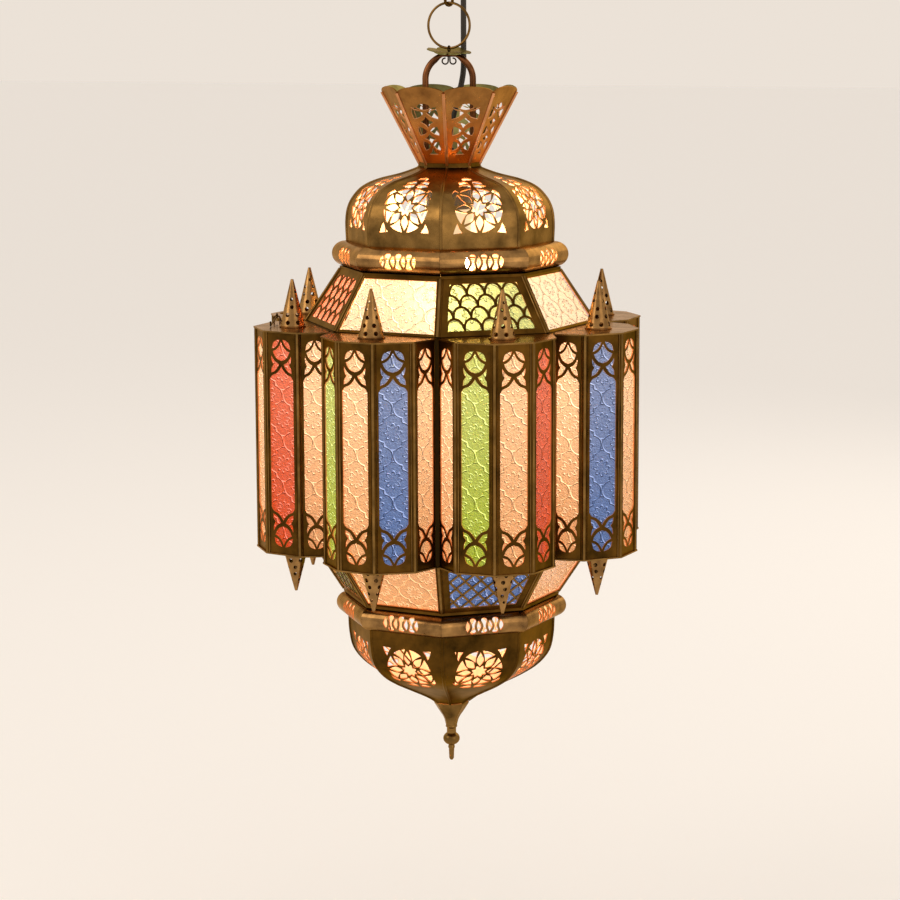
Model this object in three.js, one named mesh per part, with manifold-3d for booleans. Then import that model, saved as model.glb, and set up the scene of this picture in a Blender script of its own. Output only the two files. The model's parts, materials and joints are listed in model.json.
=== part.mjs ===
// A Moroccan hanging lantern of pierced brass and pressed glass, with an octagonal body,
// eight glazed bays, a domed top under a flared crown, and a bowl with a finial below.
// Sizes are in millimetres. +Z is up, the origin is the ceiling face, and the door bay faces -X.
import * as THREE from "three";
import { mergeVertices } from "three/addons/utils/BufferGeometryUtils.js";
import Module from "manifold-3d";

const wasm = await Module();
wasm.setup();

// Stock and clearances
const seam = 0.3;
const sheet = 1.0;
const plateThickness = 1.2;
const glassThickness = 2.2;
const overlap = 0.6;

// Octagonal drum frame. A flat is the distance from the axis to a side's middle.
const sides = 8;
const drumHeight = 181;
const drumFlat = 112.9;
const postRadius = 3;
const railDepth = 9;
const railHeight = 6;

// Bays: five panes between six corners, standing out of the drum
const bayDepth = 47.1;
const shoulderDepth = 26.7;
const frontHalf = 15.7;
const shoulderInset = 6.4;
const cameHalf = 3;
const cameRise = 1.1;
const paneBorder = 1.9;
const plateOverhang = 1.4;
const plateEndGap = 7.2;

// Tracery at both ends of a pane, measured from the pane's end
const shoulderDrop = 39;
const crossingDrop = 26.5;
const onionTop = 6.5;
const onionBottom = 23;
const onionHalfShare = 0.75;

// Spires on the bays' plates
const spireDepth = 20;
const spireRadius = 9.8;
const spireFootHeight = 0.8;
const upperSpireHeight = 38.4;
const lowerSpireHeight = 35.7;
const spireTipRadius = 1.1;

// Skirts between drum and ring mouldings. Their narrow edges stand out from the moulding's flat.
const skirtInset = 2.9;
const upperSkirtHeight = 44.3;
const lowerSkirtHeight = 46;
const upperSkirtStandoff = 4.5;
const lowerSkirtStandoff = 3.9;
const skirtLip = 1.2;
const skirtLipReach = 3;
const clearBorder = 4;
const latticeBorder = 8;
const skirtCameHalf = 2.8;
const skirtCameRise = 1.1;

// Ring mouldings above and below the skirts
const ringFlat = 79.3;
const ringRadius = 10.3;
const lowerRingRadius = 9.5;
const ringFlange = 4;
const slotCount = 3;
const slotPitch = 11;
const slotWidth = 4.4;
const ringFaceTurn = 30;

// Dome and bowl: [flat, height from the wide edge] along the outside
const domeOutline = [
  [78.0, 0],
  [78.4, 15.5],
  [76.9, 27],
  [72.6, 36.1],
  [65.2, 44.1],
  [53.6, 49.8],
  [36.7, 54.4],
  [23.9, 59.4],
  [22.4, 61.7],
];
const bowlOutline = [
  [79.2, 0],
  [78.4, 15.6],
  [75.4, 29.1],
  [67.2, 40.3],
  [55.1, 49.2],
  [38.9, 58.1],
  [22.6, 67.1],
  [13.6, 73.7],
];
const rosetteDepth = 8;
const rosetteCore = 4.9;
const petalRoot = 7.6;
const petalEnd = 14.5;
const petalHalf = 4.4;
const petals = 8;
const rosetteFacet = 2;

// Crown: flared cup of eight scalloped panels
const crownHeight = 58.2;
const crownTopFlat = 50.6;
const scallopRise = 6;
const crownRibHalf = 1.5;
const crownRibRise = 0.8;
const crownRows = 3;
const crownFootMargin = 6;
const crownHeadMargin = 8;
const crownHoleWidthShare = 0.52;
const crownHoleHeightShare = 0.8;

// Finial under the bowl
const finialCupHeight = 21;
const finialCupRim = 2;
const finialWaistShare = 0.55;
const finialNeckRadius = 4.4;
const finialStemRadius = 3.4;
const finialStemHeight = 6;
const finialBallRadius = 7;
const finialBallShare = 0.8;
const finialBallShoulder = 1.75;
const finialPinRadius = 2.7;
const finialPinEndRadius = 1.9;
const finialTipHeight = 2;
const finialLength = 51.5;

// Lamp on its nipple under the neck plate
const neckPlateDrop = 6;
const neckPlateThickness = 2;
const nippleRadius = 5;
const nippleWall = 2;
const nippleReach = 3;
const nutRadius = 8;
const nutHeight = 3.5;
const nippleLength = 24;
const gripHeight = 12;
const gripFootRadius = 6.4;
const gripHeadWall = 1.6;
const capRadius = 19;
const capHeight = 18;
const capBevelWidth = 5;
const capBevelHeight = 4;
const lampShellRadius = 17.5;
const lampShellHeight = 33;
const lampFlange = 1.5;
const lampFlangeHeight = 8;
const lampWall = 1.8;
const bulbInset = 3;
const bulbBaseRadius = 13.2;
const bulbContactRadius = 5.3;
const bulbContactHeight = 4;
const bulbRadius = 30;
const bulbShoulder = 8;
const bulbBaseLength = 26;
const bulbGlassLength = 78;
const bulbTurns = [35, 5, -25, -50, -72];

// Hanger arch, washer, cotter and ring. The arch lies along two opposite corners of the octagon.
const archTurn = 22.5;
const archHalf = 19.2;
const archBarRadius = 2.35;
const archRise = 30.6;
const archTopThickness = 2.8;
const archStub = 1;
const rivetOverhang = 1.6;
const rivetHeight = 2;
const washerRadius = 19;
const washerThickness = 1;
const washerDish = 2.2;
const washerFlatRadius = 6;
const washerPetals = 8;
const washerPetalShares = [0.8, 0.98, 0.98];
const cotterWireRadius = 0.6;
const cotterEyeRadius = 2.2;
const cotterEyeGap = 0.2;
const cotterTurn = 94.7;
const cotterTailTurn = 27.3;
const cotterTailDrop = 1.6;
const curlRadius = 2;
const curlTurn = 279;
const hangingRingRadius = 18.2;
const hangingRingWire = 1;
const ringTurn = 4.7;

// Chain and ceiling fitting
const linkLength = 19.6;
const linkHalfWidth = 3.25;
const linkWire = 1.2;
const firstLinkTurn = 55.3;
const hookWire = 1.6;
const hookRadius = 7;
const hookShank = 20;
const hookStart = 27;
const hookSweep = 297;
const hookNeckRise = 2.45;
const collarRadius = 4.8;
const collarHeight = 2;
const roseRadius = 50;
const roseDepth = 24;
const roseWall = 1.2;
const roseFootRadius = 31;
const roseBellyRadius = 45;
const roseBellyHeight = 8.4;
const roseRimHeight = 4;
const ceilingPlateRadius = 32;
const ceilingPlateThickness = 3;
const bossRadius = 8;
const bossDepth = 9;
const screwHoleRadius = 2.6;
const screwHoleOffset = 23;
const cableHoleEase = 1.2;

// Power cable: a list of points chosen by hand, in the lantern's own frame (z = 0 at the drum's top)
const cableRadius = 2.35;
const cablePlace = [1.8, 22.3];
const cableGap = 0.15;
const lowerCableRoute = [
  [1.8, 22.3, 215.5],
  [1.9, 22.1, 210.5],
  [2.3, 21.2, 205.5],
  [2.8, 19.4, 200.5],
  [3.2, 16.7, 195],
  [3.4, 13.8, 189.5],
  [3.4, 10.8, 184],
  [3.2, 8.2, 178.5],
  [2.7, 5.8, 173],
  [2.0, 3.7, 167.5],
  [1.3, 1.9, 162],
  [0.6, 0.7, 156.5],
  [0.1, 0.1, 151],
  [0, 0, 145],
];

// Door: hinge pin in knuckles at one corner post, hook and eye at the other
const hingeStandoff = 5.5;
const knuckleRadius = 2.2;
const pinRadius = 0.95;
const pinClearance = 0.35;
const pinHeadHeight = 1.2;
const knuckleHeight = 10;
const knuckleTab = 1.6;
const hingeInset = 40;
const latchDepth = 23.6;
const latchHalf = 37.5;
const latchWire = 0.65;
const latchPivotHeight = 5.1;
const latchEyeRadius = 1.75;
const doorEyeRadius = 2.2;
const doorEyeHeight = 3.3;
const prongLength = 3.6;

// Angles and places that follow from the sizes
const degrees = Math.PI / 180;
const halfStep = Math.PI / sides;
const toCorner = 1 / Math.cos(halfStep);
const faceTurn = 360 / sides;
const doorTurn = (sides / 2) * faceTurn;
const hingeCorner = doorTurn - faceTurn / 2;
const latchCorner = doorTurn + faceTurn / 2;
const valleyRadius = drumFlat * toCorner;
const valleyHalf = drumFlat * Math.tan(halfStep);
const skirtFootFlat = drumFlat - skirtInset;
const upperSkirtFoot = seam;
const upperRingBottom = upperSkirtFoot + upperSkirtHeight + seam;
const upperRingTop = upperRingBottom + 2 * ringRadius;
const domeFoot = upperRingTop + seam;
const domeTop = domeFoot + domeOutline.at(-1)[1];
const neckFlat = domeOutline.at(-1)[0];
const crownFoot = domeTop + seam;
const crownTop = crownFoot + crownHeight;
const lowerSkirtHead = -drumHeight - seam;
const lowerRingTop = lowerSkirtHead - lowerSkirtHeight - seam;
const bowlHead = lowerRingTop - 2 * lowerRingRadius - seam;
const bowlFoot = bowlHead - bowlOutline.at(-1)[1];
const neckPlateTop = domeTop - neckPlateDrop;
const neckPlateBottom = neckPlateTop - neckPlateThickness;
const nippleTop = neckPlateTop + seam + nutHeight + nippleReach;
const nippleBottom = nippleTop - nippleLength;
const capTop = nippleBottom + nutHeight + seam + lampWall;
const shellTop = capTop - capHeight - seam;
const bulbTop = shellTop - bulbInset;
const archTop = crownTop + archRise;
const washerBottom = archTop + seam;
const washerTop = washerBottom + washerThickness;
const cotterEyeCentre = washerTop + cotterEyeGap + cotterEyeRadius;
const wireStep = cotterWireRadius + hangingRingWire + seam;
const ringBottom = cotterEyeCentre + cotterEyeRadius - wireStep;
const ringTopWire = ringBottom + 2 * hangingRingRadius;
const firstLinkBottom = ringTopWire - hangingRingWire - linkWire - seam;
const secondLinkBottom = firstLinkBottom + linkLength - 2 * linkWire - seam;
const hookBottom = secondLinkBottom + linkLength - linkWire - hookWire - seam;
const hookCentre = hookBottom + hookRadius;
const roseFoot = hookCentre + hookShank;
const ceiling = roseFoot + roseDepth + seam;
const hingeRadius = valleyRadius + hingeStandoff;

// Turns a closed three.js geometry into a solid that can be joined and cut.
function solid(geometry) {
  const loose = geometry.index ? geometry.toNonIndexed() : geometry;
  const bare = new THREE.BufferGeometry();
  bare.setAttribute("position", loose.getAttribute("position"));
  const merged = mergeVertices(bare, 1e-4);
  const corners = merged.index.array;
  const kept = [];
  for (let i = 0; i < corners.length; i += 3) {
    const [a, b, c] = corners.subarray(i, i + 3);
    if (a !== b && b !== c && c !== a) kept.push(a, b, c);
  }
  return new wasm.Manifold(
    new wasm.Mesh({
      numProp: 3,
      vertProperties: merged.getAttribute("position").array,
      triVerts: Uint32Array.from(kept),
    }),
  );
}

// Turns a solid back into a geometry for a mesh.
function surface(body) {
  const mesh = body.getMesh();
  const geometry = new THREE.BufferGeometry();
  const places = new Float32Array(mesh.numVert * 3);
  for (let i = 0; i < mesh.numVert; i += 1) {
    const start = i * mesh.numProp;
    places.set(mesh.vertProperties.subarray(start, start + 3), i * 3);
  }
  geometry.setAttribute("position", new THREE.BufferAttribute(places, 3));
  geometry.setIndex(new THREE.BufferAttribute(mesh.triVerts, 1));
  return geometry;
}

function joined(bodies) {
  return bodies.reduce((whole, body) => whole.add(body));
}

function cutBy(body, tools) {
  return tools.reduce((rest, tool) => rest.subtract(tool), body);
}

function turnedZ(body, degreesTurn) {
  return body.rotate([0, 0, degreesTurn]);
}

// Twice the signed area of a closed outline, positive when it runs counterclockwise.
function signedArea(points) {
  return points.reduce((sum, [x, y], i) => {
    const [nextX, nextY] = points[(i + 1) % points.length];
    return sum + x * nextY - nextX * y;
  }, 0);
}

// A closed profile of [radius, height] turned about Z; segments of 8 start on an octagon corner.
function revolved(profile, segments, start = 0) {
  const ordered = signedArea(profile) > 0 ? profile : [...profile].reverse();
  const points = ordered.map(([r, z]) => new THREE.Vector2(Math.max(r, 0), z));
  points.push(points[0].clone());
  const geometry = new THREE.LatheGeometry(points, segments, start);
  geometry.rotateX(Math.PI / 2);
  return solid(geometry);
}

// A solid octagon round the axis from a path of [flat, height]: two square ones, crossed.
function octagonal(path) {
  const ends = [path[0], path.at(-1)].map(([, z]) => [0, z]);
  const profile = [ends[0], ...path, ends[1]].map(([flat, z]) => [flat * Math.SQRT2, z]);
  const square = revolved(profile, 4, Math.PI / 4);
  return square.intersect(turnedZ(square, 45));
}

// An octagonal ring of rectangular section.
function octagonalRing(innerFlat, outerFlat, from, to) {
  const outer = octagonal([
    [outerFlat, from],
    [outerFlat, to],
  ]);
  const inner = octagonal([
    [innerFlat, from - 1],
    [innerFlat, to + 1],
  ]);
  return outer.subtract(inner);
}

// An octagonal shell of sheet under a path of [flat, height], open at both ends.
function octagonalShell(path) {
  const inner = offsetPath(path, -sheet);
  const [firstFlat, firstZ] = inner[0];
  const [lastFlat, lastZ] = inner.at(-1);
  const rise = Math.sign(lastZ - firstZ);
  const hollow = [[firstFlat, firstZ - rise], ...inner, [lastFlat, lastZ + rise]];
  return octagonal(path).subtract(octagonal(hollow));
}

// Moves an open path sideways to its right, with mitred corners.
function offsetPath(points, distance) {
  return points.map(([x, y], i) => {
    const before = points[Math.max(i - 1, 0)];
    const after = points[Math.min(i + 1, points.length - 1)];
    const here = new THREE.Vector2(x, y);
    const into = here.clone().sub(new THREE.Vector2(...before));
    const out = new THREE.Vector2(...after).sub(here);
    if (i === 0) into.copy(out);
    if (i === points.length - 1) out.copy(into);
    const normals = [into, out].map((d) => new THREE.Vector2(d.y, -d.x).normalize());
    const middle = normals[0].clone().add(normals[1]).normalize();
    const reach = distance / middle.dot(normals[0]);
    return [x + middle.x * reach, y + middle.y * reach];
  });
}

function slab(outline, depth, from = 0) {
  const shape = new THREE.Shape(outline.map(([x, y]) => new THREE.Vector2(x, y)));
  const geometry = new THREE.ExtrudeGeometry(shape, { depth, bevelEnabled: false });
  geometry.translate(0, 0, from);
  return geometry;
}

function upright(bottomRadius, topRadius, from, to, segments) {
  const geometry = new THREE.CylinderGeometry(topRadius, bottomRadius, to - from, segments);
  geometry.rotateX(Math.PI / 2);
  geometry.translate(0, 0, (from + to) / 2);
  return solid(geometry);
}

// The frame of a face that looks along a compass angle: x to the right, y up the face, z out of it.
function facing(angle, distance, height, lean = 0) {
  const out = new THREE.Vector3(Math.cos(angle), Math.sin(angle), 0);
  const right = new THREE.Vector3(-Math.sin(angle), Math.cos(angle), 0);
  const up = new THREE.Vector3(0, 0, Math.cos(lean)).addScaledVector(out, -Math.sin(lean));
  const normal = right.clone().cross(up);
  const place = out.clone().multiplyScalar(distance);
  place.z = height;
  return new THREE.Matrix4().makeBasis(right, up, normal).setPosition(place);
}

// A hole cutter: the outline, pushed through a face from `inside` behind it to `outside` before it.
function cutter(outline, frame, inside, outside) {
  return solid(slab(outline, inside + outside, -inside)).transform(frame.elements);
}

// An octagon of a given flat, with a raised ridge along each corner if asked.
function octagonOutline(flat, ridgeHalf = 0, ridgeRise = 0) {
  const outline = [];
  for (let i = 0; i < sides; i += 1) {
    const corner = new THREE.Vector2(flat * toCorner + ridgeRise, 0);
    const shoulder = new THREE.Vector2(flat, flat * Math.tan(halfStep) - ridgeHalf);
    const before = shoulder.rotateAround(new THREE.Vector2(), -halfStep);
    const turn = halfStep * (2 * i + 1);
    const points = ridgeHalf ? [before, corner, new THREE.Vector2(before.x, -before.y)] : [corner];
    for (const point of points) {
      outline.push(point.clone().rotateAround(new THREE.Vector2(), turn).toArray());
    }
  }
  return signedArea(outline) > 0 ? outline : outline.reverse();
}

// A straight-sided solid between two outlines with the same number of points.
function lofted(lower, upper, from, to) {
  const count = lower.length;
  const contour = lower.map(([x, y]) => new THREE.Vector2(x, y));
  const places = [...lower.map((p) => [...p, from]), ...upper.map((p) => [...p, to])].flat();
  const faces = [];
  for (const [a, b, c] of THREE.ShapeUtils.triangulateShape(contour, [])) {
    faces.push(a, c, b, a + count, b + count, c + count);
  }
  for (let i = 0; i < count; i += 1) {
    const next = (i + 1) % count;
    faces.push(i, next, next + count, i, next + count, i + count);
  }
  const geometry = new THREE.BufferGeometry();
  geometry.setAttribute("position", new THREE.Float32BufferAttribute(places, 3));
  geometry.setIndex(faces);
  return solid(geometry);
}

// A sloping octagonal tube of sheet from [flat, z] to [flat, z], with ridged corners.
function ridgedTube([lowFlat, low], [highFlat, high], ridgeHalf, ridgeRise) {
  const slope = (highFlat - lowFlat) / (high - low);
  const wall = sheet * Math.hypot(slope, 1);
  const outer = lofted(
    octagonOutline(lowFlat, ridgeHalf, ridgeRise),
    octagonOutline(highFlat, ridgeHalf, ridgeRise),
    low,
    high,
  );
  const inner = lofted(
    octagonOutline(lowFlat - wall - slope),
    octagonOutline(highFlat - wall + slope),
    low - 1,
    high + 1,
  );
  return outer.subtract(inner);
}

// A round bar along a smooth path of points.
function barAlong(points, radius, segments, steps) {
  const curve = new THREE.CatmullRomCurve3(points.map((p) => new THREE.Vector3(...p)));
  const section = [];
  for (let i = 0; i < segments; i += 1) {
    const turn = (2 * Math.PI * (i + 0.5)) / segments;
    section.push(new THREE.Vector2(radius * Math.cos(turn), radius * Math.sin(turn)));
  }
  const options = { steps, extrudePath: curve, bevelEnabled: false };
  return solid(new THREE.ExtrudeGeometry(new THREE.Shape(section), options));
}

// A closed round bar whose centre line lies in the upright plane through the axis at `turn`.
function closedBar(loop, radius, segments, turn) {
  const path = signedArea(loop) > 0 ? loop : [...loop].reverse();
  const places = [];
  const count = path.length;
  const turned = new THREE.Matrix4().makeRotationZ(turn * degrees);
  path.forEach(([x, z], i) => {
    const [beforeX, beforeZ] = path[(i + count - 1) % count];
    const [afterX, afterZ] = path[(i + 1) % count];
    const outward = new THREE.Vector2(afterZ - beforeZ, beforeX - afterX).normalize();
    for (let k = 0; k < segments; k += 1) {
      const angle = (2 * Math.PI * k) / segments;
      const out = radius * Math.cos(angle);
      const place = new THREE.Vector3(
        x + outward.x * out,
        radius * Math.sin(angle),
        z + outward.y * out,
      );
      places.push(...place.applyMatrix4(turned).toArray());
    }
  });
  const faces = [];
  for (let i = 0; i < count; i += 1) {
    for (let k = 0; k < segments; k += 1) {
      const next = (i + 1) % count;
      const side = (k + 1) % segments;
      const a = i * segments + k;
      const b = next * segments + k;
      const c = next * segments + side;
      const d = i * segments + side;
      faces.push(a, c, b, a, d, c);
    }
  }
  const geometry = new THREE.BufferGeometry();
  geometry.setAttribute("position", new THREE.Float32BufferAttribute(places, 3));
  geometry.setIndex(faces);
  return solid(geometry);
}

// Points of an upright oval: two half circles and straight sides, counterclockwise from the right.
function ovalPath(halfWidth, bottom, height, halfSteps) {
  const path = [];
  for (const [centre, from] of [
    [bottom + height - halfWidth, 0],
    [bottom + halfWidth, Math.PI],
  ]) {
    for (let i = 0; i <= halfSteps; i += 1) {
      const turn = from + (Math.PI * i) / halfSteps;
      path.push([halfWidth * Math.cos(turn), centre + halfWidth * Math.sin(turn)]);
    }
  }
  return path;
}

function circlePath(radius, bottom, steps) {
  const path = [];
  for (let i = 0; i < steps; i += 1) {
    const turn = (2 * Math.PI * i) / steps;
    path.push([radius * Math.cos(turn), bottom + radius + radius * Math.sin(turn)]);
  }
  return path;
}

// The flat of a sheet's inner side at a height above its wide edge.
function innerFlatAt(outline, height) {
  const inner = offsetPath(outline, -sheet);
  const above = inner.findIndex(([, z]) => z >= height);
  const [lowFlat, lowZ] = inner[above - 1];
  const [highFlat, highZ] = inner[above];
  return lowFlat + ((highFlat - lowFlat) * (height - lowZ)) / (highZ - lowZ);
}

// Plan of a bay that faces +X: from one drum corner round its front to the next
function bayCorners() {
  const shoulder = [drumFlat + shoulderDepth, valleyHalf - shoulderInset];
  const front = [drumFlat + bayDepth, frontHalf];
  const run = Math.hypot(shoulder[0] - drumFlat, shoulder[1] - valleyHalf);
  const start = (postRadius + seam) / run;
  const valley = [
    drumFlat + (shoulder[0] - drumFlat) * start,
    valleyHalf + (shoulder[1] - valleyHalf) * start,
  ];
  const half = [valley, shoulder, front];
  const mirrored = half.map(([r, u]) => [r, -u]);
  return [...mirrored, ...half.reverse()];
}

// The outer side of a bay's sheet, with a raised came along each of its four folds
function camedPath(corners) {
  const path = [corners[0]];
  for (let i = 1; i < corners.length - 1; i += 1) {
    const here = new THREE.Vector2(...corners[i]);
    for (const [neighbour, order] of [
      [corners[i - 1], -1],
      [corners[i + 1], 1],
    ]) {
      const along = new THREE.Vector2(...neighbour).sub(here).normalize();
      const out = new THREE.Vector2(-along.y, along.x).multiplyScalar(order);
      out.negate();
      const foot = here.clone().addScaledVector(along, cameHalf + cameRise / 2);
      const crest = here.clone().addScaledVector(along, cameHalf - cameRise / 2);
      crest.addScaledVector(out, cameRise);
      const pair = [foot.toArray(), crest.toArray()];
      path.push(...(order < 0 ? pair : pair.reverse()));
    }
  }
  path.push(corners.at(-1));
  return path;
}

// The window of a pane, pointed at both ends
function windowOutline(half, height) {
  const shoulder = height / 2 - shoulderDrop;
  const apex = height / 2 - crossingDrop;
  const top = [
    [half, shoulder],
    [0, apex],
    [-half, shoulder],
  ];
  return [...top, ...top.map(([x, y]) => [-x, -y])];
}

// The onion-shaped opening beyond one end of a window; sign is 1 at the top and -1 at the bottom
function onionOutline(half, height, sign) {
  const top = height / 2 - onionTop;
  const bottom = height / 2 - onionBottom;
  const belly = (top + bottom) / 2;
  const points = [
    [0, top],
    [-half * onionHalfShare, belly],
    [0, bottom],
    [half * onionHalfShare, belly],
  ];
  return sign > 0 ? points : points.map(([x, y]) => [-x, -y]);
}

// The frame of the pane between two corners of a bay
function paneFrame(from, to) {
  const middle = [(from[0] + to[0]) / 2, (from[1] + to[1]) / 2];
  const right = new THREE.Vector3(to[0] - from[0], to[1] - from[1], 0).normalize();
  const up = new THREE.Vector3(0, 0, 1);
  const out = right.clone().cross(up);
  const frame = new THREE.Matrix4().makeBasis(right, up, out);
  return frame.setPosition(middle[0], middle[1], -drumHeight / 2);
}

// Top or bottom plate of a bay; it stops short of the corner posts
function bayPlate(corners, from) {
  const outer = offsetPath(corners, plateOverhang);
  const inner = drumFlat + seam;
  const end = valleyHalf - plateEndGap;
  const outline = [corners[0], ...outer, corners.at(-1), [inner, end], [inner, -end]];
  return solid(slab(outline, plateThickness, from));
}

function spire(height) {
  const profile = [
    [0, -overlap],
    [spireRadius, -overlap],
    [spireRadius, spireFootHeight],
    [spireTipRadius, height],
    [0, height],
  ];
  return revolved(profile, 6);
}

function bayFrame() {
  const corners = bayCorners();
  const outer = camedPath(corners);
  const inner = offsetPath(corners, -sheet).reverse();
  const wall = solid(slab([...outer, ...inner], drumHeight - 2 * overlap, overlap - drumHeight));
  const cutters = [];
  for (let i = 0; i < corners.length - 1; i += 1) {
    const frame = paneFrame(corners[i], corners[i + 1]);
    const [from, to] = [corners[i], corners[i + 1]];
    const half = Math.hypot(to[0] - from[0], to[1] - from[1]) / 2 - cameHalf - paneBorder;
    const reach = 2 * sheet;
    cutters.push(cutter(windowOutline(half, drumHeight), frame, reach, reach));
    if (i === 0 || i === corners.length - 2) continue;
    cutters.push(cutter(onionOutline(half, drumHeight, 1), frame, reach, reach));
    cutters.push(cutter(onionOutline(half, drumHeight, -1), frame, reach, reach));
  }
  const spirePlace = drumFlat + spireDepth;
  const top = spire(upperSpireHeight).translate([spirePlace, 0, 0]);
  const bottom = spire(lowerSpireHeight).rotate([180, 0, 0]);
  return joined([
    cutBy(wall, cutters),
    bayPlate(corners, -plateThickness),
    bayPlate(corners, -drumHeight),
    top,
    bottom.translate([spirePlace, 0, -drumHeight]),
  ]);
}

function bayGlass() {
  const corners = bayCorners();
  const outer = offsetPath(corners, -sheet - seam);
  const inner = offsetPath(corners, -sheet - seam - glassThickness).reverse();
  const height = drumHeight - 2 * (plateThickness + seam);
  return solid(slab([...outer, ...inner], height, -drumHeight + plateThickness + seam));
}

// The frame at a drum corner: x out along the corner, y towards the next bay counterclockwise
function atCorner(body, cornerAngle) {
  return turnedZ(body, cornerAngle);
}

function box(x, y, z) {
  const geometry = new THREE.BoxGeometry(x[1] - x[0], y[1] - y[0], z[1] - z[0]);
  geometry.translate((x[0] + x[1]) / 2, (y[0] + y[1]) / 2, (z[0] + z[1]) / 2);
  return solid(geometry);
}

const hingeHeights = [-hingeInset, -drumHeight + hingeInset];
const pinBore = pinRadius + pinClearance;

function knuckle(from, to) {
  const tube = upright(knuckleRadius, knuckleRadius, from, to, 8);
  const bore = upright(pinBore, pinBore, from - 1, to + 1, 6);
  return { tube, bore };
}

// Knuckles above and below each door knuckle, with tabs to the corner post
function frameKnuckles() {
  const bodies = [];
  const bores = [];
  for (const height of hingeHeights) {
    for (const side of [-1, 1]) {
      const middle = height + side * (knuckleHeight + seam);
      const from = middle - knuckleHeight / 2;
      const to = middle + knuckleHeight / 2;
      const { tube, bore } = knuckle(from, to);
      bodies.push(tube.translate([hingeRadius, 0, 0]));
      bores.push(bore.translate([hingeRadius, 0, 0]));
      const tab = [valleyRadius + postRadius / 2, hingeRadius - pinBore];
      bodies.push(box(tab, [-knuckleTab / 2, knuckleTab / 2], [from, to]));
    }
  }
  return { bodies, bores };
}

function drumFrame() {
  const rail = (from) =>
    octagonalRing(drumFlat - railDepth, drumFlat, from, from + railHeight);
  const posts = [];
  for (let i = 0; i < sides; i += 1) {
    const post = upright(postRadius, postRadius, -drumHeight, 0, 6);
    posts.push(turnedZ(post.translate([valleyRadius, 0, 0]), faceTurn * (i + 0.5)));
  }
  const { bodies, bores } = frameKnuckles();
  const whole = joined([
    rail(-railHeight),
    rail(-drumHeight),
    ...posts,
    ...bodies.map((body) => atCorner(body, hingeCorner)),
  ]);
  return cutBy(whole, bores.map((bore) => atCorner(bore, hingeCorner)));
}

// Knuckles of the door, with tabs square to its side pane, in the frame of the bay that faces +X
function doorKnuckles() {
  const corners = bayCorners();
  const [valley, shoulder] = corners;
  const along = new THREE.Vector2(shoulder[0] - valley[0], shoulder[1] - valley[1]).normalize();
  const lean = Math.atan2(along.y, along.x) / degrees;
  const axis = new THREE.Vector2(hingeRadius, 0).rotateAround(new THREE.Vector2(), -halfStep);
  const offset = axis.clone().sub(new THREE.Vector2(...valley));
  const distance = Math.abs(along.x * offset.y - along.y * offset.x);
  const bodies = [];
  const bores = [];
  for (const height of hingeHeights) {
    const from = height - knuckleHeight / 2;
    const to = height + knuckleHeight / 2;
    const { tube, bore } = knuckle(from, to);
    const half = knuckleTab / 2;
    const tab = box([-half, half], [pinBore, distance + sheet / 2], [from, to]);
    bodies.push(tube.translate([axis.x, axis.y, 0]));
    bodies.push(turnedZ(tab, lean).translate([axis.x, axis.y, 0]));
    bores.push(bore.translate([axis.x, axis.y, 0]));
  }
  return { bodies, bores };
}

function ringLying(radius, wire, height) {
  const geometry = new THREE.TorusGeometry(radius, wire, 6, 10);
  geometry.translate(0, 0, height);
  return solid(geometry);
}

// Eye on the door's top plate that takes the hook's prong
function doorEye() {
  const ring = ringLying(doorEyeRadius, latchWire, doorEyeHeight);
  const stem = upright(latchWire, latchWire, -overlap, doorEyeHeight, 6);
  return joined([ring, stem.translate([0, -doorEyeRadius, 0])]);
}

// Staple on the neighbouring bay's plate: two legs and a crossbar along X
function latchStaple() {
  const half = latchEyeRadius + latchWire;
  const legs = [-half, half].map((x) =>
    upright(latchWire, latchWire, -overlap, latchPivotHeight, 6).translate([x, 0, 0]),
  );
  const bar = upright(latchWire, latchWire, -half - latchWire, half + latchWire, 6);
  return joined([...legs, bar.rotate([0, 90, 0]).translate([0, 0, latchPivotHeight])]);
}

// Hook folded back over its own bay, with its prong up; pivot at the origin, along Y
function doorHook(length, droop) {
  const path = circlePath(latchEyeRadius, -latchEyeRadius, 10).map(([y, z]) => [y, z]);
  const eye = closedBar(path, latchWire, 6, 90);
  const shaft = upright(latchWire, latchWire, latchEyeRadius, length + latchWire, 6);
  const prong = upright(latchWire, latchWire, 0, prongLength, 6).translate([0, length, 0]);
  const whole = joined([eye, shaft.rotate([-90, 0, 0]), prong]);
  return whole.rotate([-droop, 0, 0]);
}

function latchPlaces() {
  const doorEyePlace = new THREE.Vector2(drumFlat + latchDepth, latchHalf);
  const fromCorner = doorEyePlace.rotateAround(new THREE.Vector2(), -halfStep);
  return { out: fromCorner.x, half: -fromCorner.y };
}

// The slope of a skirt's faces, from the edge at the drum up or down to the lip at the ring
function skirtSlope(footFlat, topFlat, foot, top) {
  const up = Math.sign(top - foot);
  const end = top - up * skirtLip;
  const lean = Math.atan2(footFlat - topFlat, Math.abs(end - foot));
  const length = Math.hypot(footFlat - topFlat, end - foot);
  const frameAt = (angle) =>
    facing(angle, (footFlat + topFlat) / 2, (foot + end) / 2, lean * up);
  return { up, end, length, frameAt };
}

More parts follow.
